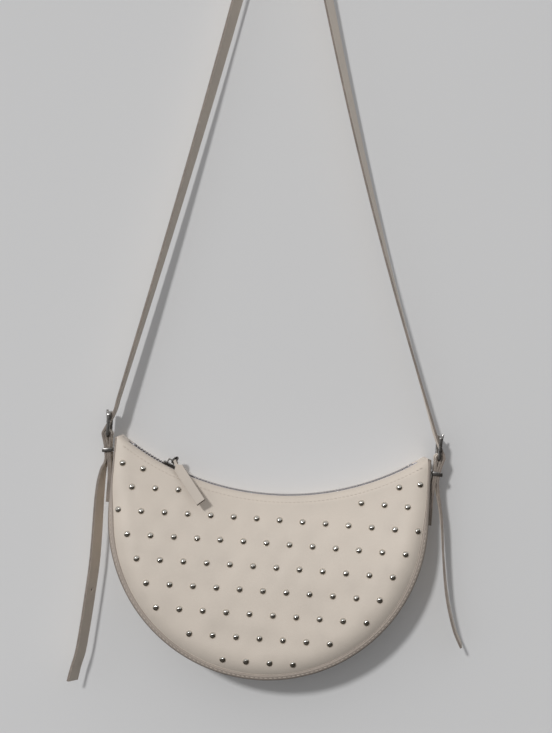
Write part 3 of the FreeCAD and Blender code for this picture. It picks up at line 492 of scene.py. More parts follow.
    def seam_stations(self, radius, spacing, top):
        """Places along the lower outline at even distances: (x, z, outward direction)"""
        side = self.s.side_height - top
        total = 2 * side + math.pi * radius
        count = max(int(total / spacing), 1)
        for step in range(count + 1):
            along = total * step / count
            if along < side:
                yield radius, -top - along, Vector((1, 0, 0))
            elif along > total - side:
                yield -radius, -top - (total - along), Vector((-1, 0, 0))
            else:
                turn = -(along - side) / radius
                out = Vector((math.cos(turn), 0, math.sin(turn)))
                yield out.x * radius, out.z * radius - self.s.side_height, out


def smooth_line(points, spacing):
    """Points of a smooth line through these, no further apart than the spacing"""
    line = []
    for index in range(len(points) - 1):
        first, last = points[index], points[index + 1]
        before = points[index - 1] if index else first * 2 - last
        after = points[index + 2] if index + 2 < len(points) else last * 2 - first
        span = (last - first).length
        into = (last - before) * (span / max(span + (first - before).length, 1e-9))
        out = (after - first) * (span / max((after - last).length + span, 1e-9))
        count = max(1, math.ceil(span / spacing))
        for step in range(count):
            t = step / count
            line.append(
                first * (2 * t**3 - 3 * t**2 + 1)
                + into * (t**3 - 2 * t**2 + t)
                + last * (3 * t**2 - 2 * t**3)
                + out * (t**3 - t**2)
            )
    return line + [points[-1]]


def grid(rows):
    """Quads through rows of points, in the order of the rows"""
    bm = bmesh.new()
    verts = [[bm.verts.new(point) for point in row] for row in rows]
    for first, second in zip(verts, verts[1:]):
        for i in range(len(first) - 1):
            bm.faces.new((first[i], first[i + 1], second[i + 1], second[i]))
    bm.faces.ensure_lookup_table()
    return bm


def ring(bm, centre, right, up, radius, count):
    """Points round a circle"""
    points = []
    for side in range(count):
        turn = math.tau * side / count
        points.append(bm.verts.new(centre + (right * math.cos(turn) + up * math.sin(turn)) * radius))
    return points


def bridge(bm, rings):
    """Quads between rings of points"""
    for first, second in zip(rings, rings[1:]):
        for side in range(len(first)):
            bm.faces.new((first[side - 1], first[side], second[side], second[side - 1]))


def weld(bm):
    bmesh.ops.remove_doubles(bm, verts=bm.verts, dist=2e-6)
    bmesh.ops.dissolve_degenerate(bm, edges=bm.edges, dist=1e-6)
    bmesh.ops.recalc_face_normals(bm, faces=bm.faces)


def piece(bm, name, materials, body, replaced=(), sharp=None):
    """Makes an object of the bag from a mesh, on its body and in place of its plain solids"""
    mesh = bpy.data.meshes.new(name)
    bm.to_mesh(mesh)
    bm.free()
    mesh.shade_smooth()
    if sharp is not None:
        mesh.set_sharp_from_angle(angle=math.radians(sharp))
    for material in materials:
        mesh.materials.append(material)
    obj = bpy.data.objects.new(name, mesh)
    bpy.context.scene.collection.objects.link(obj)
    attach(obj, body)
    if replaced:
        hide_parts(*replaced)
    return obj


def thicken(obj, thickness, rim=RIM, bevel=0.0):
    """Gives a sheet its thickness, with painted cut edges"""
    solid = obj.modifiers.new("Thickness", "SOLIDIFY")
    solid.thickness = thickness
    solid.offset = 0.0
    solid.use_even_offset = True
    solid.material_offset_rim = rim
    if bevel:
        soft = obj.modifiers.new("Soft edge", "BEVEL")
        soft.width = bevel
        soft.segments = 2
        soft.limit_method = "ANGLE"
        soft.angle_limit = math.radians(50)
        soft.material = -1


def refined(node, name, material, body, bevel=0.0, subdivide=0):
    """A metal piece with its edges broken, in place of its plain solid"""
    bm = bmesh.new()
    bm.from_mesh(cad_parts[node].data)
    bmesh.ops.remove_doubles(bm, verts=bm.verts, dist=2e-6)
    bmesh.ops.dissolve_limit(bm, angle_limit=math.radians(2), verts=bm.verts, edges=bm.edges)
    if bevel:
        edges = [e for e in bm.edges if e.is_manifold and e.calc_face_angle() > math.radians(32)]
        bmesh.ops.bevel(
            bm, geom=edges, offset=bevel, segments=2, profile=0.5, affect="EDGES", clamp_overlap=True
        )
    obj = piece(bm, name, [material], body, [node], sharp=None if subdivide else 40)
    if subdivide:
        smooth = obj.modifiers.new("Smooth", "SUBSURF")
        smooth.levels = subdivide
        smooth.render_levels = subdivide


class Nodes:
    """Builds the nodes of one material or world"""

    def __init__(self, owner):
        owner.use_nodes = True
        self.tree = owner.node_tree
        self.tree.nodes.clear()

    def node(self, kind, sockets=None, **settings):
        """A node with its settings, each socket set to a value or linked from another socket"""
        node = self.tree.nodes.new("ShaderNode" + kind)
        for name, value in settings.items():
            setattr(node, name, value)
        for name, value in (sockets or {}).items():
            if isinstance(value, bpy.types.NodeSocket):
                self.tree.links.new(value, node.inputs[name])
            else:
                node.inputs[name].default_value = value
        return node

    def math(self, operation, first, second):
        return self.node("Math", {0: first, 1: second}, operation=operation).outputs[0]

    def spread(self, value, low, high, to_low=0.0, to_high=1.0):
        sockets = {"Value": value, "From Min": low, "From Max": high, "To Min": to_low, "To Max": to_high}
        return self.node("MapRange", sockets).outputs["Result"]

    def shades(self, value, *stops):
        """Colour along a ramp: (position, colour) stops"""
        node = self.node("ValToRGB", {"Fac": value})
        elements = node.color_ramp.elements
        while len(elements) < len(stops):
            elements.new(0.5)
        for element, (position, tint) in zip(elements, stops):
            element.position = position
            element.color = (*tint, 1.0)
        return node.outputs["Color"]


class Shader(Nodes):
    """Builds one procedural material"""

    def __init__(self, name):
        self.material = bpy.data.materials.new(name)
        super().__init__(self.material)
        self.coords = self.node("TexCoord").outputs["Object"]
        self.bsdf = self.node("BsdfPrincipled")
        self.output = self.node("OutputMaterial", {"Surface": self.bsdf.outputs["BSDF"]})

    def noise(self, scale, detail=2.0, roughness=0.5, stretch=None):
        coords = self.coords
        if stretch:
            coords = self.node("Mapping", {"Vector": coords, "Scale": stretch}).outputs["Vector"]
        sockets = {"Vector": coords, "Scale": scale, "Detail": detail, "Roughness": roughness}
        return self.node("TexNoise", sockets).outputs["Fac"]

    def cells(self, scale):
        sockets = {"Vector": self.coords, "Scale": scale, "Smoothness": 0.35}
        return self.node("TexVoronoi", sockets, feature="SMOOTH_F1").outputs["Distance"]

    def weave(self, scale):
        sockets = {"Vector": self.coords, "Scale": scale, "Distortion": 1.2, "Detail": 1.0}
        warp = self.node("TexWave", sockets, bands_direction="X").outputs["Fac"]
        weft = self.node("TexWave", sockets, bands_direction="Z").outputs["Fac"]
        return self.math("MULTIPLY", warp, weft)

    def finish(self, base, roughness=None, height=None, depth=0.0, strength=1.0, **sockets):
        """Joins the colour, roughness and bump, and sets what is the same all over"""
        inputs = self.bsdf.inputs
        for name, value in sockets.items():
            inputs[name.replace("_", " ")].default_value = value
        self.tree.links.new(base, inputs["Base Color"])
        if roughness is not None:
            self.tree.links.new(roughness, inputs["Roughness"])
        if height is not None:
            bump = self.node("Bump", {"Height": height, "Distance": depth, "Strength": strength})
            self.tree.links.new(bump.outputs["Normal"], inputs["Normal"])
        return self.material


def tinted(tint, factor):
    return tuple(min(1.0, channel * factor) for channel in tint)


def make_leather(name, tint):
    look = Shader(name)
    pores = look.cells(1500.0)
    fine = look.noise(3800.0, 3.0, 0.6)
    clouds = look.noise(34.0, 4.0, 0.55)
    base = look.shades(clouds, (0.3, tinted(tint, 0.955)), (0.5, tint), (0.72, tinted(tint, 1.03)))
    height = look.math("ADD", look.math("MULTIPLY", pores, 0.8), look.math("MULTIPLY", fine, 0.5))
    rough = look.spread(clouds, 0.3, 0.7, 0.5, 0.62)
    return look.finish(base, rough, height, 0.16 * MM, 0.55, Specular_IOR_Level=0.38, Sheen_Weight=0.04)


def make_edge(name, tint):
    look = Shader(name)
    fibres = look.noise(2600.0, 3.0, 0.7)
    wear = look.noise(160.0, 3.0, 0.6)
    base = look.shades(wear, (0.32, tinted(tint, 0.8)), (0.55, tint), (0.75, tinted(tint, 1.25)))
    rough = look.spread(fibres, 0.3, 0.7, 0.45, 0.7)
    return look.finish(base, rough, fibres, 0.1 * MM, 0.5, Specular_IOR_Level=0.4)


def make_thread(name, tint):
    look = Shader(name)
    twist = look.noise(2400.0, 2.0, 0.6)
    base = look.shades(twist, (0.3, tinted(tint, 0.85)), (0.7, tinted(tint, 1.06)))
    return look.finish(base, None, twist, 0.08 * MM, 0.7, Roughness=0.75, Sheen_Weight=0.15)


def make_cloth(name, tint):
    look = Shader(name)
    weave = look.weave(420.0)
    slubs = look.noise(90.0, 3.0, 0.6)
    base = look.shades(slubs, (0.3, tinted(tint, 0.86)), (0.7, tinted(tint, 1.08)))
    return look.finish(base, None, weave, 0.18 * MM, 0.8, Roughness=0.85, Sheen_Weight=0.2)


def make_metal(name, tint, low, high):
    look = Shader(name)
    smear = look.noise(220.0, 3.0, 0.6)
    lines = look.noise(900.0, 2.0, 0.6, (1.0, 1.0, 7.0))
    base = look.shades(smear, (0.3, tinted(tint, 0.9)), (0.7, tinted(tint, 1.04)))
    rough = look.spread(smear, 0.3, 0.7, low, high)
    return look.finish(base, rough, lines, 0.02 * MM, 0.25, Metallic=1.0)


def make_wall(name, tint):
    """A wall that is clear from behind"""
    look = Shader(name)
    clouds = look.noise(1.3, 2.0, 0.5)
    grain = look.noise(260.0, 4.0, 0.6)
    base = look.shades(clouds, (0.3, tinted(tint, 0.985)), (0.7, tinted(tint, 1.015)))
    material = look.finish(base, None, grain, 0.2 * MM, 0.12, Roughness=0.9, Specular_IOR_Level=0.1)
    behind = look.node("NewGeometry").outputs["Backfacing"]
    clear = look.node("BsdfTransparent").outputs["BSDF"]
    mix = look.node("MixShader", {"Fac": behind, 1: look.bsdf.outputs["BSDF"], 2: clear})
    look.tree.links.new(mix.outputs["Shader"], look.output.inputs["Surface"])
    return material


def make_floor(name, tint):
    look = Shader(name)
    clouds = look.noise(3.0, 3.0, 0.5)
    base = look.shades(clouds, (0.3, tinted(tint, 0.97)), (0.7, tinted(tint, 1.02)))
    return look.finish(base, None, look.noise(120.0, 3.0, 0.6), 0.3 * MM, 0.1, Roughness=0.8)


# Finish in each of the colours: its name, its maker and the range of its roughness
FINISHES = {
    "leather": ("Cream leather", make_leather),
    "seam": ("Seam leather", make_leather),
    "edge": ("Painted edge", make_edge),
    "thread": ("Thread", make_thread),
    "lining": ("Lining cotton", make_cloth),
    "tape": ("Zip tape", make_cloth),
    "stud": ("Polished stud", make_metal, 0.07, 0.14),
    "zip": ("Zip metal", make_metal, 0.38, 0.5),
    "slider": ("Slider metal", make_metal, 0.3, 0.42),
    "buckle": ("Buckle metal", make_metal, 0.22, 0.34),
    "card": ("Dark card", make_floor),
    "wall": ("Plain wall", make_wall),
    "floor": ("Pale floor", make_floor),
}


def finish(context, tint):
    """The finish in one of the colours, made once and shared"""
    name, make, *values = FINISHES[tint]
    shade = tuple(getattr(context.scene.bag_colours, tint))
    return bpy.data.materials.get(name) or make(name, shade, *values)


def leather_and_edge(context):
    return [finish(context, "leather"), finish(context, "edge")]


def top_lip(form, phi, side, depth):
    """Edge of a panel beside the zip: turned in along the zip, closed to the middle at the tips"""
    s = form.s
    share = ease((s.zip_radius * abs(math.sin(phi)) - LIP_CLOSES) / LIP_RUN)
    lip = []
    for turn, plies, level, aside in LIP:
        rho, y = form.roll_point(ROLL_END + turn, depth, s.roll_radius - plies * s.leather)
        rho += share * (s.zip_radius + level * MM - rho)
        y += share * (aside * MM - y)
        lip.append(form.place(rho, phi, side * y))
    return lip


def panel(form, front, size, seam, closed_tone):
    """Mesh of a panel in columns from the zip to its seam, with the finish of each face"""
    side = -1 if front else 1
    roll = form.front_roll if front else form.back_roll
    depth_at = form.front_depth if front else form.back_depth
    soft = form.softness if front else form.slackness
    count, fineness = size
    reach = max(out for out, inset, tone in seam)
    columns = []
    tones = []
    for step in range(count + 1):
        phi = form.end_phi * (2 * step / count - 1)
        top = form.top_rho(phi)
        if abs(phi) < form.tip_phi:
            column = top_lip(form, phi, side, roll)
        else:
            column = [form.place(top, phi, side * depth_at(top) * share) for share in TIP_SHARES]
        for rho, depth in form.panel_line(phi, front, fineness):
            column.append(form.place(rho, phi, side * (depth + soft(rho, phi))))
        tones += [FACE] * (len(column) - 1)
        over = form.overhang(phi) if front else 0.0
        for out, inset, tone in seam:
            rho = form.outline_rho(phi, form.step + over + out * (1 - over / reach))
            tones.append(min(tone, closed_tone) if rho < top else tone)
            rho = max(rho, top)
            column.append(form.place(rho, phi, side * depth_at(rho, inset)))
        columns.append(column)
    bm = grid(columns)
    for face, tone in zip(bm.faces, tones):
        face.material_index = tone
    weld(bm)
    return bm


class BAG_OT_front(bpy.types.Operator):
    """Make the crowned front with its rolled top edge, seam groove and turned-out edge"""

    bl_idname = "bag.front"
    bl_label = "Front"

    def execute(self, context):
        s = context.scene.bag_sizes
        seam = [(out * MM, s.groove + inset * MM, tone) for out, inset, tone in FRONT_SEAM]
        bm = panel(Form(s), True, FRONT_GRID, seam, SHADED_SEAM)
        # The seam finish is painted shade: its darker colour stands for the shadow in the crease and on the
        # turned-out edge
        materials = [finish(context, tint) for tint in ("leather", "seam", "edge")]
        piece(bm, "front_leather", materials, "bag", ["front_panel"])
        return {"FINISHED"}


class BAG_OT_back(bpy.types.Operator):
    """Make the flat back with its rolled top edge"""

    bl_idname = "bag.back"
    bl_label = "Back"

    def execute(self, context):
        s = context.scene.bag_sizes
        ply = s.leather
        outline = ((5.3, 0.3 * MM), (5.5, ply / 2), (5.3, ply - 0.2 * MM), (4.6, ply), (2.0, ply))
        seam = [(out * MM, inset, RIM) for out, inset in outline]
        bm = panel(Form(s), False, BACK_GRID, seam, FACE)
        piece(bm, "back_leather", leather_and_edge(context), "bag", ["back_panel"])
        return {"FINISHED"}


def gusset_place(form, x, z, out_way, out, edge, inward):
    """A point of the gusset's section: out from the seam, and inward from its front or back edge"""
    s = form.s
    x, z = x + out_way.x * out, z + out_way.z * out
    rho = math.hypot(x, form.axis_z - z)
    if edge < 0 and inward < GUSSET_EDGE * MM:
        inward += 0.2 * MM + (out - 1.5 * MM) * 0.75
    front = -form.front_depth(rho, s.groove + s.leather + GUSSET_GAP)
    back = form.back_depth(rho, s.leather + GUSSET_GAP)
    share = clamp((z - GUSSET_NARROWS) / GUSSET_NARROW_RUN)
    front += share * (-GUSSET_TOP_HALF - front)
    back += share * (GUSSET_TOP_HALF - back)
    narrow = 1 - share * (1 - GUSSET_TOP_HALF / s.tip_depth)
    return Vector((x, front + inward * narrow if edge < 0 else back - inward * narrow, z))


class BAG_OT_gusset(bpy.types.Operator):
    """Make the swelling strip between the front and the back, its edges turned out under theirs"""

    bl_idname = "bag.gusset"
    bl_label = "Gusset"

    def flank(self, form, x, z, way, edge):
        """One side of the section, from its turned-out edge to the middle"""
        bulge = form.s.bulge / GUSSET_BULGE
        points = []
        for out, inward in GUSSET_FLANK:
            grown = out * MM * (min(bulge, 1.0) if inward < GUSSET_EDGE else bulge)
            points.append(gusset_place(form, x, z, way, grown, edge, inward * MM))
        return points

    def execute(self, context):
        s = context.scene.bag_sizes
        form = Form(s)
        rows = []
        for x, z, way in form.seam_stations(s.seam_radius, 3.0 * MM, 2.5 * MM):
            row = self.flank(form, x, z, way, -1)
            back = self.flank(form, x, z, way, 1)
            first, last = row[-1], back[-1]
            loose = clamp((-z - s.tab_foot - 2.0 * MM) / (20.0 * MM))
            for step in range(1, 8):
                share = step / 8
                middle = first.lerp(last, share)
                ripple = noise.noise((middle.x * 38, middle.y * 60, middle.z * 38))
                swell = loose * (0.8 + 0.6 * ripple) * MM
                row.append(middle + way * (swell * math.sin(math.pi * share)))
            rows.append([form.hang @ point for point in row + back[::-1]])
        bm = grid(rows)
        wide = len(rows[0]) - 1
        for index, face in enumerate(bm.faces):
            if min(index % wide, wide - 1 - index % wide) < GUSSET_EDGE_FACES:
                face.material_index = RIM
        weld(bm)
        piece(bm, "gusset_leather", leather_and_edge(context), "bag", ["gusset"])
        return {"FINISHED"}


class BAG_OT_lining(bpy.types.Operator):
    """Make the cotton lining inside"""

    bl_idname = "bag.lining"
    bl_label = "Lining"

    def execute(self, context):
        s = context.scene.bag_sizes
        form = Form(s)
        start = form.roll_rho + s.leather
        inset = s.leather + LINING_GAP
        radius = form.step - s.leather - LINING_SIDE_GAP
        limit = math.asin(radius / start) - 0.002
        columns, parts = LINING_GRID
        rows = []
        for step in range(columns + 1):
            phi = limit * (2 * step / columns - 1)
            end = max(form.outline_rho(phi, radius), start)
            front, back = [], []
            for part in range(parts + 1):
                rho = start + (end - start) * part / parts
                wave = noise.noise((phi * 16, rho * 40, 4.0)) * math.sin(math.pi * part / parts)
                fold = abs(LINING_FOLD * wave)
                front.append(form.place(rho, phi, -form.front_depth(rho, inset) + fold))
                back.append(form.place(rho, phi, form.back_depth(rho, inset) - fold))
            floor = [front[-1].lerp(back[-1], share / 6) for share in range(1, 6)]
            rows.append(front + floor + back[::-1])
        bm = grid(rows)
        weld(bm)
        nodes = ["front_lining", "back_lining", "gusset_lining"]
        lining = piece(bm, "lining_cotton", [finish(context, "lining")], "bag", nodes)
        thicken(lining, LINING_THICK, FACE)
        return {"FINISHED"}


class BAG_OT_studs(bpy.types.Operator):
    """Set the domed studs in their staggered rows"""

    bl_idname = "bag.studs"
    bl_label = "Studs"

    def execute(self, context):
        s = context.scene.bag_sizes
        form = Form(s)
        half = s.stud_width / 2
        bm = bmesh.new()
        for x, z in form.spots:
            rho = math.hypot(x, form.axis_z - z)
            phi = math.atan2(x, form.axis_z - z)
            seat = form.front_point(rho, phi)
            down = form.front_point(rho + 1.5 * MM, phi) - form.front_point(rho - 1.5 * MM, phi)
            across = form.front_point(rho, phi + 0.005) - form.front_point(rho, phi - 0.005)
            normal = across.cross(down).normalized()
            if normal.y > 0:
                normal = -normal
            right = across.normalized()
            up = normal.cross(right)
            rings = []
            for out, rise in STUD_OUTLINE:
                centre = seat + normal * (s.stud_height * rise)
                rings.append(ring(bm, centre, right, up, half * out, STUD_SIDES))
            top = bm.verts.new(seat + normal * s.stud_height)
            bridge(bm, rings)
            for side in range(STUD_SIDES):
                bm.faces.new((rings[-1][side - 1], rings[-1][side], top))
        bmesh.ops.recalc_face_normals(bm, faces=bm.faces)
        piece(bm, "domed_studs", [finish(context, "stud")], "bag", ["studs"])
        return {"FINISHED"}


def row_opening(form, phi):
    """How far one row of teeth stands aside: closed to the right of the slider"""
    span = form.s.slider_length / form.chain
    return form.s.open_step * clamp((form.slider + span / 6 - phi) / (span / 2))


class BAG_OT_zip(bpy.types.Operator):
    """Make the woven tapes and finish the teeth and the stops"""

    bl_idname = "bag.zip"
    bl_label = "Zip"

    def execute(self, context):
        s = context.scene.bag_sizes
        form = Form(s)
        cloth = finish(context, "tape")
        metal = finish(context, "zip")
        limit = math.asin((s.seam_radius - TAPE_END) / form.chain)
        radius = s.roll_radius - s.leather - TAPE_GAP
        for side, word in ((-1, "front"), (1, "back")):
            depth = form.front_roll if side < 0 else form.back_roll
            rows = []
            for step in range(TAPE_COLUMNS + 1):
                phi = limit * (2 * step / TAPE_COLUMNS - 1)
                edge = s.tooth_root + row_opening(form, phi)
                row = [(form.chain, edge), (form.chain + 0.1 * MM, (edge + TAPE_KNEE) / 2)]
                row.append((form.chain + 0.2 * MM, TAPE_KNEE))
                for part in range(5):
                    turn = ROLL_END - (ROLL_END - TAPE_TURN) * part / 4
                    row.append(form.roll_point(turn, depth, radius))
                rows.append([form.place(rho, phi, side * y) for rho, y in row])
            bm = grid(rows)
            weld(bm)
            tape = piece(bm, word + "_tape", [cloth], "bag", ["zip_tape_" + word])
            thicken(tape, TAPE_THICK, FACE)
            refined("zip_teeth_" + word, word + "_teeth", metal, "bag", bevel=0.14 * MM)
        refined("zip_top_stops", "top_stops", metal, "bag", bevel=0.3 * MM)
        refined("zip_bottom_stop", "bottom_stop", metal, "bag", bevel=0.3 * MM)
        return {"FINISHED"}


class BAG_OT_slider(bpy.types.Operator):
    """Finish the slider and its wire ring"""

    bl_idname = "bag.slider"
    bl_label = "Slider"

    def execute(self, context):
        metal = finish(context, "slider")
        refined("slider_body", "zip_slider_metal", metal, "zip_slider", bevel=0.25 * MM)
        refined("puller_ring", "wire_ring", metal, "puller", subdivide=2)
        return {"FINISHED"}


class BAG_OT_pull(bpy.types.Operator):
    """Make the leather pull, folded over the ring and bent over the bag's edge"""

    bl_idname = "bag.pull"
    bl_label = "Pull"

    def execute(self, context):
        s = context.scene.bag_sizes
        form = Form(s)
        axis = Vector((math.cos(PULL_RISE), 0, math.sin(PULL_RISE)))
        drop = Vector((math.sin(PULL_RISE), 0, -math.cos(PULL_RISE)))
        across = drop * math.sin(PULL_TWIST) - Vector((0, math.cos(PULL_TWIST), 0))
        hinge = Vector((s.ring_wire / 2, 0, RING_RISE))
        fold = hinge + axis * s.ring_radius + across * s.ring_radius
        out = Vector((0, -1, 0))
        ways = []
        for tilt in PULL_TILTS:
            way = drop * math.cos(tilt) + out * math.sin(tilt)
            ways.append((way, out * math.cos(tilt) - drop * math.sin(tilt)))
        (lead, lead_face), (down, face) = ways
        bend = fold + lead * PULL_LEAD
        slack = bend + down * PULL_SLACK
        between = (lead_face + face) * (1 / (1 + lead_face.dot(face)))
        spine = (
            (bend + down * (s.pull_length - PULL_LEAD), face),
            (slack + down * PULL_FLAT, face),
            (slack, face),
            (bend + down * (4.0 * MM), between),
            (bend - lead * (1.0 * MM), between),
            (fold + lead * PULL_CLOSED, lead_face),
        )
        layer = s.pull_leather / 2 + PLY_GAP
        loop = s.ring_wire / 2 + RING_GAP + s.pull_leather / 2
        path = [place + way * layer for place, way in spine]
        path[2] += face * PULL_PUFF
        for step in range(9):
            turn = math.pi * step / 8
            path.append(fold + lead_face * (loop * math.cos(turn)) - lead * (loop * math.sin(turn)))
        path += [place - way * layer for place, way in reversed(spine)]
        rows = []
        for point in smooth_line(path, PULL_SPACING):
            share = clamp(((point - bend).dot(down) - 1.5 * MM) / (3.5 * MM))
            half = (s.pull_neck + (s.pull_width - s.pull_neck) * ease(share)) / 2
            row = []
            for step in range(9):
                side = step / 4 - 1
                place = point + axis * (half * side) - face * (PULL_CUP * share * side**2)
                row.append(form.on_chain @ place)
            rows.append(row)
        # Painted shade: the pull's leather is 0.8 of the leather colour, darker than the panel so that its
        # upward-tilted face reads as shaded
        tint = tinted(context.scene.bag_colours.leather, 0.8)
        shaded_pull = bpy.data.materials.get("Handled leather") or make_leather("Handled leather", tint)
        materials = [shaded_pull, finish(context, "edge")]
        pull = piece(grid(rows), "leather_pull", materials, "pull", ["pull_tab"])
        thicken(pull, s.pull_leather, bevel=0.18 * MM)
        return {"FINISHED"}


class Ends:
    """Places at one end of the strap, drawn on the right"""

    def __init__(self, form):
        s = form.s
        self.form = form
        self.bar = Vector((s.seam_radius + s.bar_out, 0, 0))
        self.foot_x = s.seam_radius + s.bulge + TAB_GAP + s.tab_leather
        knee = Vector((self.foot_x, 0, -s.tab_free))
        self.down = (knee - self.bar).normalized()
        self.out = Vector((-self.down.z, 0, self.down.x))
        self.loop = s.bar_radius + BAR_GAP + s.tab_leather

    def on_tab(self, along, out):
        return self.bar + self.down * along + self.out * out

    def hung(self, point, side):
        return self.form.hang @ Vector((side * point.x, point.y, point.z))


class BAG_OT_tabs(bpy.types.Operator):
    """Make the two tabs, each folded over its buckle's bar and sewn to the gusset"""

    bl_idname = "bag.tabs"
    bl_label = "Tabs"

    def flank(self, ends, loop, side):
        """One layer of a tab, from its foot up to the bend round the bar"""
        s = ends.form.s
        layer = s.tab_leather / 2 + PLY_GAP
        levels = (-s.tab_foot, -s.tab_foot + TAB_SEWN, -s.tab_free - TAB_KNEE)
        free = (
            (s.tab_free - TAB_EASE, layer),
            (s.tab_close + TAB_EASE, layer),
            (s.tab_close, layer + 0.05 * MM),
            (s.tab_close * 0.5, loop * 0.62),
        )
        foot = [Vector((ends.foot_x + side * layer, 0, z)) for z in levels]
        return foot + [ends.on_tab(along, side * out) for along, out in free]

    def execute(self, context):
        s = context.scene.bag_sizes
        ends = Ends(Form(s))
        loop = s.bar_radius + BAR_GAP + s.tab_leather / 2
        path = self.flank(ends, loop, -1)
        for step in range(11):
            turn = math.pi * step / 10
            path.append(ends.on_tab(-loop * math.sin(turn), -loop * math.cos(turn)))
        path += self.flank(ends, loop, 1)[::-1]
        line = smooth_line(path, TAB_SPACING)
        places = [Vector((0, share * s.strap_width / 2, 0)) for share in TAB_COLUMNS]
        wide = len(places) - 1
        for side, word in SIDES:
            bm = grid([[ends.hung(point + place, side) for place in places] for point in line])
            slot = []
            for row in range(len(line) - 1):
                if (line[row].z + line[row + 1].z) / 2 > PRONG_SLOT_LOW:
                    slot.append(bm.faces[row * wide + wide // 2])
            bmesh.ops.delete(bm, geom=slot, context="FACES")
            name = word + "_tab_leather"
            tab = piece(bm, name, leather_and_edge(context), "bag", ["tab_" + word])
            thicken(tab, s.tab_leather, bevel=0.22 * MM)
        return {"FINISHED"}


def tangent(outside, centre, radius, sign):
    """Touching angle of the line from a point to a circle in the XZ plane"""
    away = outside - centre
    return math.atan2(away.z, away.x) + sign * math.acos(radius / math.hypot(away.x, away.z))


class BAG_OT_strap(bpy.types.Operator):
    """Make the long strap, from its left free end over the peg to its right free end"""

    bl_idname = "bag.strap"
    bl_label = "Strap"

    def at_buckle(self, ends, side):
        """Down through the buckle's frame, round its bar and under the keeper"""
        s = ends.form.s
        radius = ends.loop + STRAP_GAP + s.strap_thick / 2
        inside = ends.bar.x - s.frame_thick / 2 - 1.0 * MM - s.strap_thick / 2
        level = s.tab_leather + STRAP_GAP + s.strap_thick / 2
        points = [Vector((inside, 0, s.frame_height))]
        first = tangent(points[0], ends.bar, radius, -1)
        last = math.atan2(ends.out.z, ends.out.x)
        for step in range(9):
            turn = first + (last - first) * step / 9
            points.append(ends.bar + Vector((math.cos(turn), 0, math.sin(turn))) * radius)
        points.append(ends.on_tab(s.keeper_drop - s.keeper_height, level))
        points.append(ends.on_tab(s.keeper_drop + s.keeper_height + s.keeper_travel, level))
        return [ends.hung(point, side) for point in points]

    def on_peg(self, s, turn):
        out = (s.peg_radius + s.strap_thick / 2) * math.cos(turn)
        high = (s.peg_radius + s.strap_thick / 2) * math.sin(turn) - s.peg_radius
        return Vector((out * math.cos(s.peg_turn), out * math.sin(s.peg_turn), high))

    def half(self, ends, side):
        """From the peg down to the free end: (place, turn of the face), and the peg's angle there"""
        s = ends.form.s
        low = self.at_buckle(ends, side)
        peg = Vector((0, 0, -s.peg_radius))
        turn = tangent(low[0], peg, s.peg_radius + s.strap_thick / 2, side)
        start = self.on_peg(s, turn)
        sag, skew, hold = ARM_SAG[side]
        stations = []
        for step in range(40):
            share = step / 40
            aside = Vector((sag * MM * math.sin(math.pi * share**skew), 0, 0))
            face = s.peg_turn * (1 - share) * (1 + hold * share)
            stations.append((start.lerp(low[0], share) + aside, face))
        stations += [(point, 0.0) for point in low]
        keeper = ends.hung(ends.on_tab(s.keeper_drop, 0.0), side)
        for aside, drop, face in TAILS[side]:
            stations.append((keeper + Vector((side * aside, 0, -drop)) * MM, math.radians(face)))
        return stations, turn % math.tau

    def middle_line(self, ends):
        """Points (x, y, z, turn of the face) along the strap, and the index of its punched hole"""
        s = ends.form.s
        left, left_turn = self.half(ends, -1)
        right, right_turn = self.half(ends, 1)
        stations = left[::-1]
        for step in range(1, 24):
            turn = left_turn + (right_turn - left_turn) * step / 24
            stations.append((self.on_peg(s, turn), s.peg_turn))
        stations += right
        line = smooth_line([Vector((*place, turn)) for place, turn in stations], STRAP_SPACING)
        hole_z = stations[0][0].z + s.strap_hole_rise
        near = min(range(len(line) // 3), key=lambda i: abs(line[i].z - hole_z))
        before, middle, after = line[near - 1 : near + 2]
        reach = (after - before) * (s.strap_hole / 2 / (after - before).to_3d().length)
        line[near - 1 : near + 2] = [before, middle - reach, middle, middle + reach, after]
        return line, near + 1

    def rows(self, s, line, hole):
        """Points across the strap, drawn together round its hole"""
        left, middle, right = HOLE_COLUMNS
        radius = s.strap_hole / 2
        rows = []
        for index, point in enumerate(line):
            along = line[min(index + 1, len(line) - 1)].to_3d() - line[max(index - 1, 0)].to_3d()
            along.normalize()
            wide = Vector((-math.sin(point.w), math.cos(point.w), 0))
            wide = (wide - along * wide.dot(along)).normalized()
            places = [share * s.strap_width / 2 for share in STRAP_COLUMNS]
            if abs(index - hole) <= 1:
                places[right] = radius * (1.0 if index == hole else HOLE_ROUND)
                places[left] = -places[right]
            rows.append([point.to_3d() + wide * place for place in places])
        centre = rows[hole][middle]
        for row in (rows[hole - 1], rows[hole + 1]):
            for column in HOLE_COLUMNS:
                row[column] = centre + (row[column] - centre).normalized() * radius
        return rows

    def openings(self, ends, bm, hole):
        """Faces inside the punched hole and round the prongs"""
        s = ends.form.s
        upright = ends.form.hang.inverted()
        start = ends.bar + Vector((0.75 * MM, 0, s.bar_radius))
        tip = Vector((ends.bar.x + s.frame_thick / 2 + 1.25 * MM, 0, s.frame_height))
        way = (tip - start).normalized()
        out = Vector((way.z, 0, -way.x))
        wide = len(STRAP_COLUMNS) - 1
        faces = []
        for index, face in enumerate(bm.faces):
            if index % wide not in HOLE_COLUMNS[:2]:
                continue
            local = upright @ face.calc_center_median()
            local.x, local.y = abs(local.x), 0.0
            along = (local - start).dot(way)
            aside = (local - start).dot(out)
            beside_prong = -PRONG_HALF < aside < PRONG_HALF + along * PRONG_SPREAD
            if index // wide in (hole - 1, hole) or (-0.5 * MM < along < PRONG_LENGTH and beside_prong):
                faces.append(face)
        return faces

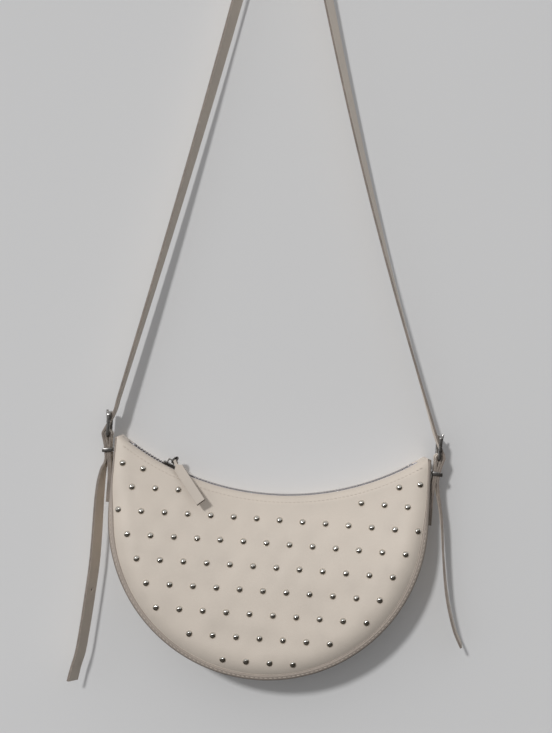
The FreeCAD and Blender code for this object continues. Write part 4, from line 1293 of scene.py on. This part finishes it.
    def execute(self, context):
        s = context.scene.bag_sizes
        ends = Ends(Form(s))
        line, hole = self.middle_line(ends)
        bm = grid(self.rows(s, line, hole))
        bmesh.ops.delete(bm, geom=self.openings(ends, bm, hole), context="FACES")
        materials = leather_and_edge(context)
        strap = piece(bm, "strap_leather", materials, "bag", ["shoulder_strap"])
        thicken(strap, s.strap_thick, bevel=0.3 * MM)
        return {"FINISHED"}


class BAG_OT_hardware(bpy.types.Operator):
    """Finish the buckles, prongs and keepers"""

    bl_idname = "bag.hardware"
    bl_label = "Hardware"

    def execute(self, context):
        metal = finish(context, "buckle")
        for word in ("left", "right"):
            prong, keeper = "buckle_prong_" + word, "strap_keeper_" + word
            refined("buckle_" + word, word + "_buckle_frame", metal, "bag", 0.6 * MM)
            refined("prong_" + word, word + "_prong_pin", metal, prong, 0.3 * MM)
            refined("keeper_" + word, word + "_keeper_loop", metal, keeper, 0.4 * MM)
        return {"FINISHED"}


def stitches(places, long, radius):
    """Mesh of threads along a seam: (place, way along, way out of the leather) each"""
    bm = bmesh.new()
    for place, along, out in places:
        across = along.cross(out).normalized()
        slant = (along + across * THREAD_SLANT).normalized()
        rings = []
        for share, size, rise in THREAD_OUTLINE:
            centre = place + slant * (long * share) + out * (radius * rise)
            rings.append(ring(bm, centre, across, out, radius * size, THREAD_SIDES))
        bridge(bm, rings)
        bm.faces.new(rings[0][::-1])
        bm.faces.new(rings[-1])
    bmesh.ops.recalc_face_normals(bm, faces=bm.faces)
    return bm


class BAG_OT_stitching(bpy.types.Operator):
    """Sew the seams, the edges beside the zip and the tabs"""

    bl_idname = "bag.stitching"
    bl_label = "Stitching"

    def along_seam(self, form, front):
        turn = form.hang.to_3x3()
        places = []
        for x, z, way in form.seam_stations(form.step + 3.1 * MM, 4.0 * MM, 12.0 * MM):
            rho = math.hypot(x, form.axis_z - z)
            if front:
                y = -form.front_depth(rho, form.s.groove + 0.9 * MM)
                out = Vector((0, -0.8, 0)) + way * 0.6
            else:
                y = form.back_depth(rho)
                out = Vector((0, 1, 0))
            along = Vector((way.z, 0, -way.x))
            places.append((form.hang @ Vector((x, y, z)), turn @ along, turn @ out))
        return places

    def beside_zip(self, form, front):
        rho = form.s.zip_radius + form.s.stitch_drop
        y = -form.front_depth(rho) - form.softness(rho, 0.0) if front else form.back_depth(rho)
        depth = -form.front_roll if front else form.back_roll
        end = form.tip_phi - 0.03
        count = int(2 * end * rho / (3.6 * MM))
        places = []
        for step in range(count + 1):
            phi = end * (2 * step / count - 1)
            spot = form.place(rho, phi, y)
            ahead = form.place(rho, phi + 0.001, y) - spot
            centre = form.place(form.roll_rho, phi, depth)
            places.append((spot, ahead.normalized(), (spot - centre).normalized()))
        return places

    def on_tabs(self, form):
        s = form.s
        ends = Ends(form)
        x = ends.foot_x + s.tab_leather
        low, high = -s.tab_foot + 2.5 * MM, -s.tab_free - TAB_KNEE
        half = s.strap_width / 2 - 2.2 * MM
        outline = ((half, high), (half, low), (-half, low), (-half, high), (half, high))
        corners = [Vector((x, y, z)) for y, z in outline]
        places = []
        for side in (-1, 1):
            out = form.hang.to_3x3() @ Vector((side, 0, 0))
            for first, last in zip(corners, corners[1:]):
                count = max(2, round((last - first).length / (3.5 * MM)))
                along = (ends.hung(last, side) - ends.hung(first, side)).normalized()
                for step in range(count):
                    spot = ends.hung(first.lerp(last, (step + 0.5) / count), side)
                    places.append((spot, along, out))
        return places

    def execute(self, context):
        form = Form(context.scene.bag_sizes)
        thread = finish(context, "thread")
        # Places of the stitches, their length and radius (mm)
        runs = {
            "front_seam_thread": (self.along_seam(form, True), 3.0, 0.3),
            "back_seam_thread": (self.along_seam(form, False), 3.0, 0.3),
            "front_zip_thread": (self.beside_zip(form, True), 2.7, 0.26),
            "back_zip_thread": (self.beside_zip(form, False), 2.7, 0.26),
            "tab_thread": (self.on_tabs(form), 2.6, 0.28),
        }
        for name, (places, long, radius) in runs.items():
            piece(stitches(places, long * MM, radius * MM), name, [thread], "bag")
        return {"FINISHED"}


def plane(name, corner, along, up, material):
    """A flat piece of the stage from one corner"""
    corner, along, up = Vector(corner), Vector(along), Vector(up)
    mesh = bpy.data.meshes.new(name)
    mesh.from_pydata([corner, corner + along, corner + along + up, corner + up], [], [(0, 1, 2, 3)])
    mesh.materials.append(material)
    obj = bpy.data.objects.new(name, mesh)
    bpy.context.scene.collection.objects.link(obj)
    return obj


def sun(name, way, strength, spread):
    data = bpy.data.lights.new(name, "SUN")
    data.energy = strength
    data.angle = math.radians(spread)
    lamp = bpy.data.objects.new(name, data)
    lamp.rotation_mode = "QUATERNION"
    lamp.rotation_quaternion = Vector(way).to_track_quat("-Z", "Y")
    bpy.context.scene.collection.objects.link(lamp)
    return lamp


def make_room(name):
    """A world brighter from above and in front, which the camera and the metal see as even grey"""
    world = bpy.data.worlds.new(name)
    room = Nodes(world)
    way = room.node("TexCoord").outputs["Generated"]
    lean = room.node("VectorMath", {0: way, 1: (-0.3, -0.5, 0.8)}, operation="DOT_PRODUCT").outputs["Value"]
    light = room.shades(
        room.spread(lean, -1.0, 1.0), (0.33, (0.07, 0.07, 0.07)), (0.95, (0.77, 0.77, 0.78))
    )
    lit = room.node("Background", {"Color": light}).outputs["Background"]
    grey = room.node("Background", {"Color": (0.58, 0.58, 0.58, 1.0)}).outputs["Background"]
    rays = room.node("LightPath").outputs
    seen = room.math("MAXIMUM", rays["Is Camera Ray"], rays["Is Glossy Ray"])
    seen = room.math("MAXIMUM", seen, rays["Is Transmission Ray"])
    mix = room.node("MixShader", {"Fac": seen, 1: lit, 2: grey})
    room.node("OutputWorld", {"Surface": mix.outputs["Shader"]})
    return world


class BAG_OT_stage(bpy.types.Operator):
    """Set the wall, the floor, the lights and the camera"""

    bl_idname = "bag.stage"
    bl_label = "Stage"

    def execute(self, context):
        scene = context.scene
        wall = plane("wall", (-2.5, WALL_PLACE, FLOOR_LEVEL), (5, 0, 0), (0, 0, 2.7), finish(context, "wall"))
        wall.visible_shadow = False
        wall.visible_glossy = False
        floor = plane("floor", (-4, -4, FLOOR_LEVEL), (8, 0, 0), (0, 8, 0), finish(context, "floor"))
        floor.visible_diffuse = False
        for name, corner, along, up in CARDS:
            card = plane(name, corner, along, up, finish(context, "card"))
            card.visible_camera = False
            card.visible_diffuse = False
            card.visible_transmission = False
            card.visible_shadow = False
        sun("key", (0.39, 1.0, -0.49), 1.62, 5)
        fill = sun("back_fill", (0.4, -1.0, -0.12), 2.5, 40)
        fill.visible_glossy = False
        scene.world = make_room("Room")
        scene.view_settings.view_transform = "Standard"
        data = bpy.data.cameras.new("camera")
        data.lens = CAMERA_LENS
        camera = bpy.data.objects.new("camera", data)
        camera.location = CAMERA_PLACE
        camera.rotation_euler = (math.pi / 2, 0, 0)
        scene.collection.objects.link(camera)
        scene.camera = camera
        return {"FINISHED"}


OPERATORS = (
    BAG_OT_front,
    BAG_OT_back,
    BAG_OT_gusset,
    BAG_OT_lining,
    BAG_OT_studs,
    BAG_OT_zip,
    BAG_OT_slider,
    BAG_OT_pull,
    BAG_OT_tabs,
    BAG_OT_strap,
    BAG_OT_hardware,
    BAG_OT_stitching,
    BAG_OT_stage,
)


class BAG_PT_panel(bpy.types.Panel):
    """Steps that dress the bag"""

    bl_idname = "BAG_PT_panel"
    bl_label = "Half moon bag"
    bl_space_type = "VIEW_3D"
    bl_region_type = "UI"
    bl_category = "Bag"

    def draw(self, context):
        for operator in OPERATORS:
            self.layout.operator(operator.bl_idname)
        for group in (context.scene.bag_colours, context.scene.bag_sizes):
            box = self.layout.box()
            for name in group.__annotations__:
                box.prop(group, name)


CLASSES = (BagSizes, BagColours) + OPERATORS + (BAG_PT_panel,)


def register():
    for cls in CLASSES:
        bpy.utils.register_class(cls)
    bpy.types.Scene.bag_sizes = bpy.props.PointerProperty(type=BagSizes)
    bpy.types.Scene.bag_colours = bpy.props.PointerProperty(type=BagColours)


def unregister():
    del bpy.types.Scene.bag_colours
    del bpy.types.Scene.bag_sizes
    for cls in reversed(CLASSES):
        bpy.utils.unregister_class(cls)


def main():
    register()
    bpy.ops.bag.front()
    bpy.ops.bag.back()
    bpy.ops.bag.gusset()
    bpy.ops.bag.lining()
    bpy.ops.bag.studs()
    bpy.ops.bag.zip()
    bpy.ops.bag.slider()
    bpy.ops.bag.pull()
    bpy.ops.bag.tabs()
    bpy.ops.bag.strap()
    bpy.ops.bag.hardware()
    bpy.ops.bag.stitching()
    bpy.ops.bag.stage()


if __name__ == "__main__":
    main()
